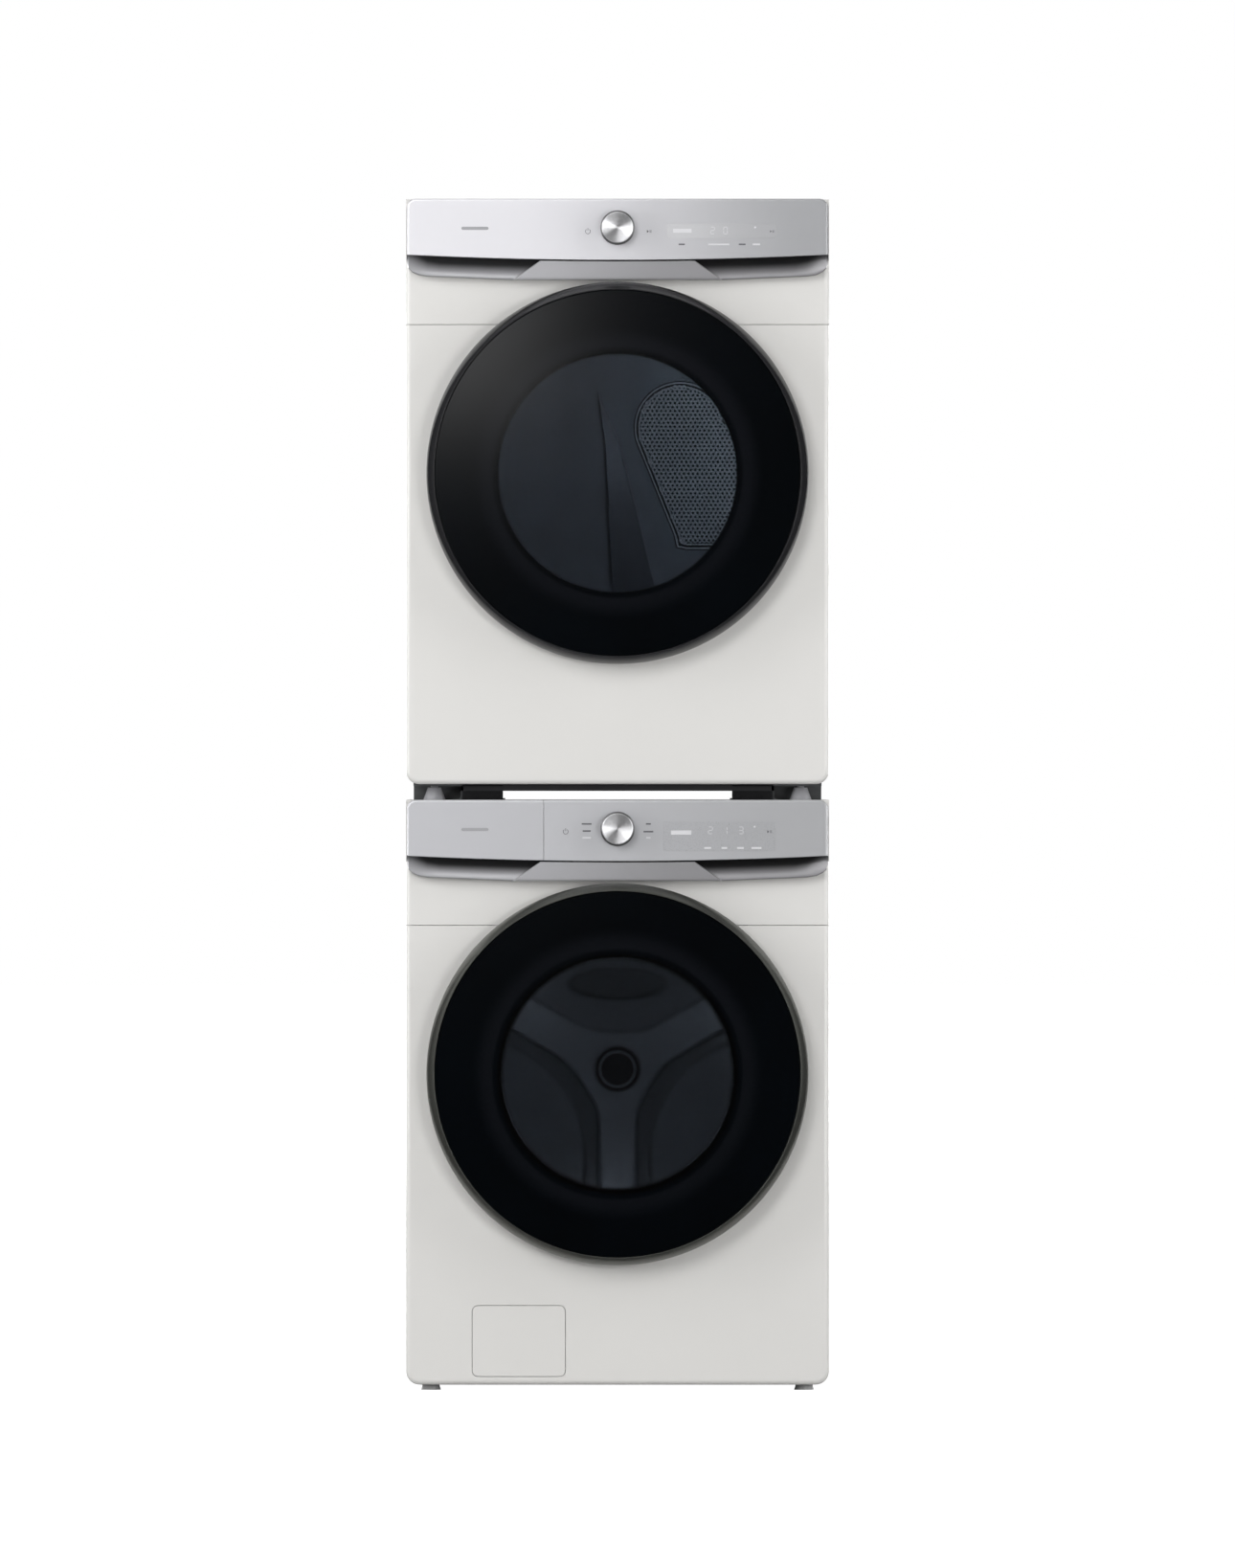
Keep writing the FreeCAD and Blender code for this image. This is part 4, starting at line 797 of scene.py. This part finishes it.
# ---------------------------------------------------------------- trim under the panel

WEDGE_HEAD, WEDGE_FOOT = 123.0, 170.0     # half widths of the flat middle, mm
WEDGE_PROUD, WEDGE_CROWN = 17.8, 2.2      # how far it stands out, and a rise inside its edge
STRIP_PROUD = 16.5                        # how far the grips' heads stand out, mm
SCOOP, SCOOP_DEPTH = 31.0, 15             # height and depth of a finger grip, mm
LIP = 1.6                                 # how far the strip's lower edge turns back, mm
TRIM_ROWS = (0, 1.3, 2.0, 3.5, 5, 7, 9, 11, 13, 15, 17, 19, 21, 23, 25, 27.5, 30, 31, 31.8, 32.4)


def trim_columns(half):
    """Where each column of the strip's mesh meets its foot and its head, left to right."""
    ends = [half * math.sin(math.pi / 2 * number / 14) for number in range(14, 4, -1)]
    wing = [(x, x) for x in ends if x > WEDGE_FOOT + 30]
    last = wing[-1][0]
    for number in range(1, 9):
        part = number / 9
        wing.append((last + (WEDGE_FOOT + 1 - last) * part, last + (WEDGE_HEAD + 1 - last) * part))
    wing += [(WEDGE_FOOT, WEDGE_HEAD), (WEDGE_FOOT - 0.4, WEDGE_HEAD - 0.4),
             (WEDGE_FOOT - 2.4, WEDGE_HEAD - 2.4), (WEDGE_FOOT - 60, WEDGE_HEAD - 44)]
    return [(-foot, -head) for foot, head in wing] + [(0.0, 0.0)] + wing[::-1]


def trim_reach(across, part, below, half):
    """How far the strip stands out of the front sheet, in mm."""
    edge = WEDGE_HEAD + (WEDGE_FOOT - WEDGE_HEAD) * part
    lip = LIP * smoothed(below, 30.5, TRIM_ROWS[-1])
    out = abs(across) - edge
    if out < -0.1 and below > 1.8:
        return WEDGE_PROUD + WEDGE_CROWN * smoothed(-out, 0.1, 2.4) - lip
    end = 0.4 + 0.6 * smoothed(half - abs(across), 0, 50)
    deep = SCOOP_DEPTH * (1 - min(1, max(0, (below - 1.5) / (SCOOP - 1.5)))) ** 1.3 * end
    rounding = 3 * (1 - math.sqrt(1 - max(0, 1 - (half - abs(across)) / 3) ** 2))
    return STRIP_PROUD - deep - lip - rounding


def trim_strip(place):
    """Strip under the panel: two scooped finger grips either side of a flat wedge."""
    unit = place.unit
    low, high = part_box(unit + "_handle_trim")
    half = high.x / MM
    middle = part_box(unit + "_control_panel")[0].z - 0.6 * MM
    bow = high.z - middle
    columns = trim_columns(half)

    def build(shape):
        grid = []
        for foot_x, head_x in columns:
            far = max(abs(foot_x), abs(head_x))
            slope = max(0.0, far - WEDGE_FOOT) / (half - WEDGE_FOOT)
            turn = max(0.0, far - (half - 34)) / 34
            foot_z = low.z + (6 * min(1.0, slope * 1.2)
                              + 20 * (1 - math.sqrt(max(0.0, 1 - turn * turn)))) * MM
            line = []
            for row in TRIM_ROWS:
                part = row / TRIM_ROWS[-1]
                x = head_x + (foot_x - head_x) * part
                head_z = middle + bow * (x / half) ** 2
                z = head_z + (foot_z - head_z) * part
                reach = trim_reach(x, part, row, half)
                line.append(shape.verts.new((x * MM, place.front - reach * MM, z)))
            grid.append(line)
        for one, other in zip(grid, grid[1:]):
            for row in range(len(one) - 1):
                shape.faces.new((one[row], other[row], other[row + 1], one[row + 1]))
        rim = ([line[0] for line in grid] + grid[-1][1:] + [line[-1] for line in grid[-2::-1]]
               + grid[0][-2:0:-1])
        back = [shape.verts.new((spot.co.x, place.front, spot.co.z)) for spot in rim]
        bridge(shape, rim, back)
        shape.faces.new(back)

    piece_from(unit + "_trim_strip", build, TRIM, "root",
               [unit + "_handle_trim"], sharp=28)


# ---------------------------------------------------------------- panel marks

def digit(x, z, width, height, segments):
    """Seven-segment digit as a list of small bars."""
    thick = 1.1 * MM
    half, up = width / 2, height / 2
    shapes = {
        "a": bar(x, z + up, width - thick, thick), "d": bar(x, z - up, width - thick, thick),
        "g": bar(x, z, width - thick, thick),
        "f": bar(x - half, z + up / 2, thick, up - thick),
        "b": bar(x + half, z + up / 2, thick, up - thick),
        "e": bar(x - half, z - up / 2, thick, up - thick),
        "c": bar(x + half, z - up / 2, thick, up - thick)}
    return [shapes[one] for one in segments]


def power_icon(x, z, radius):
    """Open ring with a stroke at its top."""
    ring = []
    for rim, order in ((radius, 1), (radius - 0.8 * MM, -1)):
        angles = [math.radians(125 + 290 * number / 22) for number in range(23)][::order]
        ring += [(x + rim * math.cos(angle), z + rim * math.sin(angle)) for angle in angles]
    return [ring, bar(x, z + radius * 0.75, 0.8 * MM, radius)]


def start_icon(x, z, size):
    """Play triangle and pause bars."""
    play = [(x - size, z - size * 0.7), (x - size, z + size * 0.7), (x, z)]
    return [play, bar(x + size * 0.5, z, 0.8 * MM, size * 1.4),
            bar(x + size * 1.0, z, 0.8 * MM, size * 1.4)]


def print_marks(place, name, outlines, material, lift=0.12):
    """Thin printed marks on the panel's face, placed from the knob's middle in mm."""
    face = place.panel_face
    body = "detergent_drawer" if name.startswith("drawer") else "root"

    def build(shape):
        for outline in outlines:
            spots = [(place.knob.x + x, place.knob.z + z) for x, z in outline]
            slab(shape, spots, face - lift * MM, face + 0.05 * MM)

    piece_from("%s_%s" % (place.unit, name), build, material, body)


def at(*values):
    """Millimetres as metres."""
    return [value * MM for value in values]


def panel_marks(place):
    """Generic icons, digits and label bars, in mm from the knob's middle."""
    if place.unit == "washer":
        white = [bar(*at(103, -6, 33, 7), 0.6 * MM), bar(*at(-50, -14.5, 14, 3.4)),
                 bar(*at(50, -14.5, 7, 3))]
        for x, lit in ((150.5, "abged"), (174, "bc"), (200, "abgcd")):
            white += digit(*at(x, -2.5, 6.5, 11), lit)
        white += [disc(*at(222, 3.5, 1.6))]
        white += [bar(*at(x, -31, wide, 3)) for x, wide in (
            (146, 11), (173, 9), (199, 11), (225, 16))]
        grey = power_icon(*at(-84, -4.5, 4.4)) + start_icon(*at(246, -4.5, 3.4))
        grey += [bar(*at(-50, z, wide, 2.4)) for z, wide in ((8, 16), (-3.5, 13))]
        grey += [bar(*at(50, z, wide, 2.4)) for z, wide in ((8, 8), (-4.5, 16))]
        lens = bar(*at(165, -12, 182, 48), 2 * MM)
    else:
        white = [bar(*at(105, -5, 30, 6.5), 0.6 * MM), bar(*at(164, -27, 34, 2.6)),
                 bar(*at(225, -27, 12, 3))]
        for x, lit in ((154, "abged"), (175, "abcdef")):
            white += digit(*at(x, -4.5, 6, 11), lit)
        white += [disc(*at(223, 0.5, 1.6))]
        grey = power_icon(*at(-48, -6, 4.4)) + start_icon(*at(51, -6, 3.4))
        grey += start_icon(*at(250, -6, 3.0)) + [bar(*at(104, -27, 10, 2.4)),
                                                bar(*at(202, -27, 11, 2.4))]
        lens = bar(*at(169, -5.5, 178, 23), 2 * MM)
    print_marks(place, "display_lens", [lens], LENS[place.unit], 0.06)
    print_marks(place, "white_marks", white, WHITE_INK)
    print_marks(place, "grey_marks", grey, GREY_INK)
    badge = "drawer_badge" if place.unit == "washer" else "badge"
    print_marks(place, badge, [bar(*at(-231, -1, 44, 5), 2.4 * MM)], PALE_INK, 0.2)


# ---------------------------------------------------------------- rear sheets and the gap

REAR_COVER = (0.40, 0.36)
REAR_COVER_MIDDLE = {"washer": 0.37, "dryer": 0.60}   # share of the sheet's height
SCREW_HEAD = ((-0.05, 0), (-0.05, 4.6), (0.5, 4.8), (1.4, 4.1), (2.1, 2.4), (2.1, 1.2),
              (1.2, 0.9), (1.2, 0))       # (out of the sheet, radius), mm
BEAD = ((0, -0.05), (1.2, 0.9), (3, 1.3), (4.8, 0.9), (6, -0.05))   # (out sideways, proud)
HOOD = ((0, -0.05), (1.6, 1.5), (4.2, 2.8), (7.4, 3.4), (7.4, 2.6), (7.0, -0.05))


def rear_details(place):
    """Screw heads, a pressed cover frame and hooded air slots on the rear sheet, the slots
    near-black slabs of painted shade.
    """
    unit = place.unit
    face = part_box(unit + "_top_plate")[1].y
    low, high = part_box(unit + "_rear_panel")
    side = high.x - 14 * MM
    heights = [low.z + (high.z - low.z) * part for part in (0.08, 0.28, 0.5, 0.72, 0.93)]
    middle = low.z + REAR_COVER_MIDDLE[unit] * (high.z - low.z)
    wide, tall = REAR_COVER

    def screws(shape):
        spots = [(sign * side, z) for sign in (-1, 1) for z in heights]
        spots += [(x, high.z - 22 * MM) for x in (-0.16, 0.0, 0.16)]
        spots += [(x * (wide / 2 - 12 * MM), middle + z * (tall / 2 - 12 * MM))
                  for x in (-1, 1) for z in (-1, 1)]
        for x, z in spots:
            lathe(shape, Vector((x, 0, z)), [(face + y * MM, r * MM) for y, r in SCREW_HEAD],
                  24, False)

    piece_from(unit + "_rear_screws", screws, ZINC, "root")

    def frame_bead(shape):
        loops = []
        for grow, proud in BEAD:
            outline = bar(0, middle, wide + 2 * grow * MM, tall + 2 * grow * MM,
                          (14 + grow) * MM, 8)
            loops.append([shape.verts.new((x, face + proud * MM, z)) for x, z in outline])
        hoop(shape, loops)

    piece_from(unit + "_rear_cover_bead", frame_bead, REAR_SHEET, "root")

    slots = [(x, middle + row * 17 * MM) for x in (-0.075, 0.075) for row in range(-5, 6)]

    def hoods(shape):
        for x, z in slots:
            cuts = []
            for number in range(15):
                across = number / 7 - 1
                lift = max(0.12, (1 - abs(across) ** 3)) ** 0.6
                cuts.append([shape.verts.new((
                    x + across * 52 * MM, face + max(proud * lift, -0.05) * MM,
                    z - down * MM)) for down, proud in HOOD])
            for one, other in zip(cuts, cuts[1:]):
                bridge(shape, one, other)
            shape.faces.new(cuts[0])
            shape.faces.new(cuts[-1][::-1])

    piece_from(unit + "_rear_air_hoods", hoods, REAR_SHEET, "root")

    # Painted shade: near-black slabs in the slots under the hoods.
    def slits(shape):
        for x, z in slots:
            outline = bar(x, z - 8.2 * MM, 96 * MM, 2.2 * MM, 1 * MM)
            slab(shape, outline, face - 0.2 * MM, face + 0.12 * MM)

    piece_from(unit + "_rear_air_slit_painted_shade", slits, PAINTED_SHADE_SHEET, "root")


def gap_strips():
    """Dark sealing strip on top of each stacking rail, under the dryer's front edge."""
    for side in ("left", "right"):
        low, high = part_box("stacking_bracket_" + side)
        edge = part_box("dryer_front_panel")[0].z
        outline = bar((low.x + high.x) / 2, edge, high.x - low.x, 6.4 * MM, 0.6 * MM)
        piece_from("gap_strip_" + side,
                   lambda shape: slab(shape, outline, low.y - 0.95 * MM, low.y - 0.55 * MM),
                   BRACKET, "root")


# ---------------------------------------------------------------- stage

# name, place, aim, size, power in watts
LIGHTS = (
    ("key_left", (-3.4, -6.6, 3.6), (0, -0.3, 0.7), (2.6, 3.0), 156),
    ("fill_right", (3.6, -6.6, 1.0), (0, -0.3, 0.7), (2.0, 1.8), 107),
    ("front_high", (-1.2, -6.0, 5.6), (0, -0.3, 0.9), (2.6, 2.0), 80),
    ("edge_left", (-3.6, -1.6, 2.0), (0, -0.1, 1.0), (1.0, 3.4), 95),
    ("edge_right", (3.6, -1.6, 2.0), (0, -0.1, 1.0), (1.0, 3.4), 74),
    ("glass_glow", (-1.75, -12.0, 3.25), (0, -0.3, 1.5), (2.7, 2.5), 42),
    ("top", (0, 0.3, 5.0), (0, 0, 1.0), (4, 4), 40),
    ("back_left", (-3.6, 5.6, 1.05), (0, 0.3, 1.0), (2.4, 1.7), 170),
    ("back_right", (3.6, 5.6, 1.05), (0, 0.3, 1.0), (2.4, 1.7), 140),
)
# unit, drum, distance from its axis, heading in degrees, power in watts
DRUM_LAMPS = (
    ("washer", "washer_drum", 0.235, -95, 0.28),
    ("washer", "washer_drum", 0.235, 25, 0.28),
    ("washer", "washer_drum", 0.235, 145, 0.28),
    ("dryer", "dryer_drum", 0.26, 30, 1.6),
)
PHOTO_WIDTH = 1290                        # columns of the whole photo
OBJECT_ROWS = 1244.5                      # rows of the photo that the object takes
ROWS_LOW = 11.25                          # how far its middle is below the photo's
CAMERA_DISTANCE = 30.0                    # next to no perspective, as in the photo


def soft_light(name, place, aim, size, power):
    data = bpy.data.lights.new(name, "AREA")
    data.shape = "RECTANGLE"
    data.size, data.size_y = size
    data.energy = power
    lamp = bpy.data.objects.new(name, data)
    bpy.context.scene.collection.objects.link(lamp)
    lamp.location = place
    lamp.rotation_euler = (Vector(aim) - Vector(place)).to_track_quat("-Z", "Y").to_euler()
    lamp.visible_camera = False


def drum_lamp(place, drum, reach, heading, power):
    """Small lamp just inside the drum's mouth, behind the glass's printed border. It
    stands for the light that falls through the tinted window."""
    data = bpy.data.lights.new(drum + "_lamp", "POINT")
    data.energy = power
    data.shadow_soft_size = 0.03
    lamp = bpy.data.objects.new(drum + "_lamp", data)
    bpy.context.scene.collection.objects.link(lamp)
    turn = math.radians(heading)
    lamp.location = (place.door.x + reach * math.cos(turn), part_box(drum)[0].y + 0.05,
                     place.door.z + reach * math.sin(turn))
    lamp.visible_camera = False


def seen_by_camera(tree):
    """1 where the camera looks straight at the floor or the backdrop, else 0."""
    return add(tree, "LightPath").outputs["Is Camera Ray"]


def studio_floor():
    """Wide pale disc under the object."""
    mesh = bpy.data.meshes.new("studio_floor")
    shape = bmesh.new()
    bmesh.ops.create_circle(shape, cap_ends=True, segments=96, radius=60.0)
    shape.to_mesh(mesh)
    shape.free()
    made = bpy.data.objects.new("studio_floor", mesh)
    bpy.context.scene.collection.objects.link(made)
    material, tree, output = new_material("pale_floor")
    shader = add(tree, "BsdfPrincipled", {"Base Color": (0.55, 0.55, 0.55, 1), "Roughness": 0.9,
                                          "Emission Color": (1, 1, 1, 1)})
    link(tree, seen_by_camera(tree), shader.inputs["Emission Strength"])
    link(tree, shader.outputs["BSDF"], output)
    mesh.materials.append(material)
    made.visible_glossy = False


def studio_world():
    """White backdrop for the camera, a dim even room for everything else."""
    world = bpy.data.worlds.new("studio")
    bpy.context.scene.world = world
    world.use_nodes = True
    tree = world.node_tree
    back = tree.nodes["Background"]
    back.inputs["Color"].default_value = (1, 1, 1, 1)
    strength = add(tree, "MapRange", {"To Min": 0.02, "To Max": 1.0})
    link(tree, seen_by_camera(tree), strength.inputs["Value"])
    link(tree, strength.outputs["Result"], back.inputs["Strength"])


def stage_set():
    """Pale floor, white backdrop, soft lights all round, and the camera."""
    bpy.context.scene.view_settings.view_transform = "Standard"
    studio_floor()
    studio_world()
    for light in LIGHTS:
        soft_light(*light)
    for unit, *lamp in DRUM_LAMPS:
        drum_lamp(PLACES[unit], *lamp)
    camera_view()


def camera_view():
    """Level camera in front of the doors, framed as the photo is."""
    scene = bpy.context.scene
    data = bpy.data.cameras.new("view")
    camera = bpy.data.objects.new("view", data)
    scene.collection.objects.link(camera)
    scene.camera = camera
    low, high = (Vector(corner) for corner in cad_box)
    row = (high.z - low.z) / OBJECT_ROWS
    data.sensor_fit = "HORIZONTAL"
    data.sensor_width = 36.0
    data.lens = data.sensor_width * CAMERA_DISTANCE / (PHOTO_WIDTH * row)
    data.clip_end = 200.0
    middle = (low.z + high.z) / 2 + ROWS_LOW * row
    camera.location = (0, FRONT - CAMERA_DISTANCE, middle)
    camera.rotation_euler = (math.radians(90), 0, 0)


# ---------------------------------------------------------------- build

paint_frame()
for one in PLACES.values():
    door_pieces(one)
    knob_pieces(one)
    trim_strip(one)
    panel_marks(one)
    rear_details(one)
washer_basket(PLACES["washer"])
dryer_grille(PLACES["dryer"])
gap_strips()
stage_set()
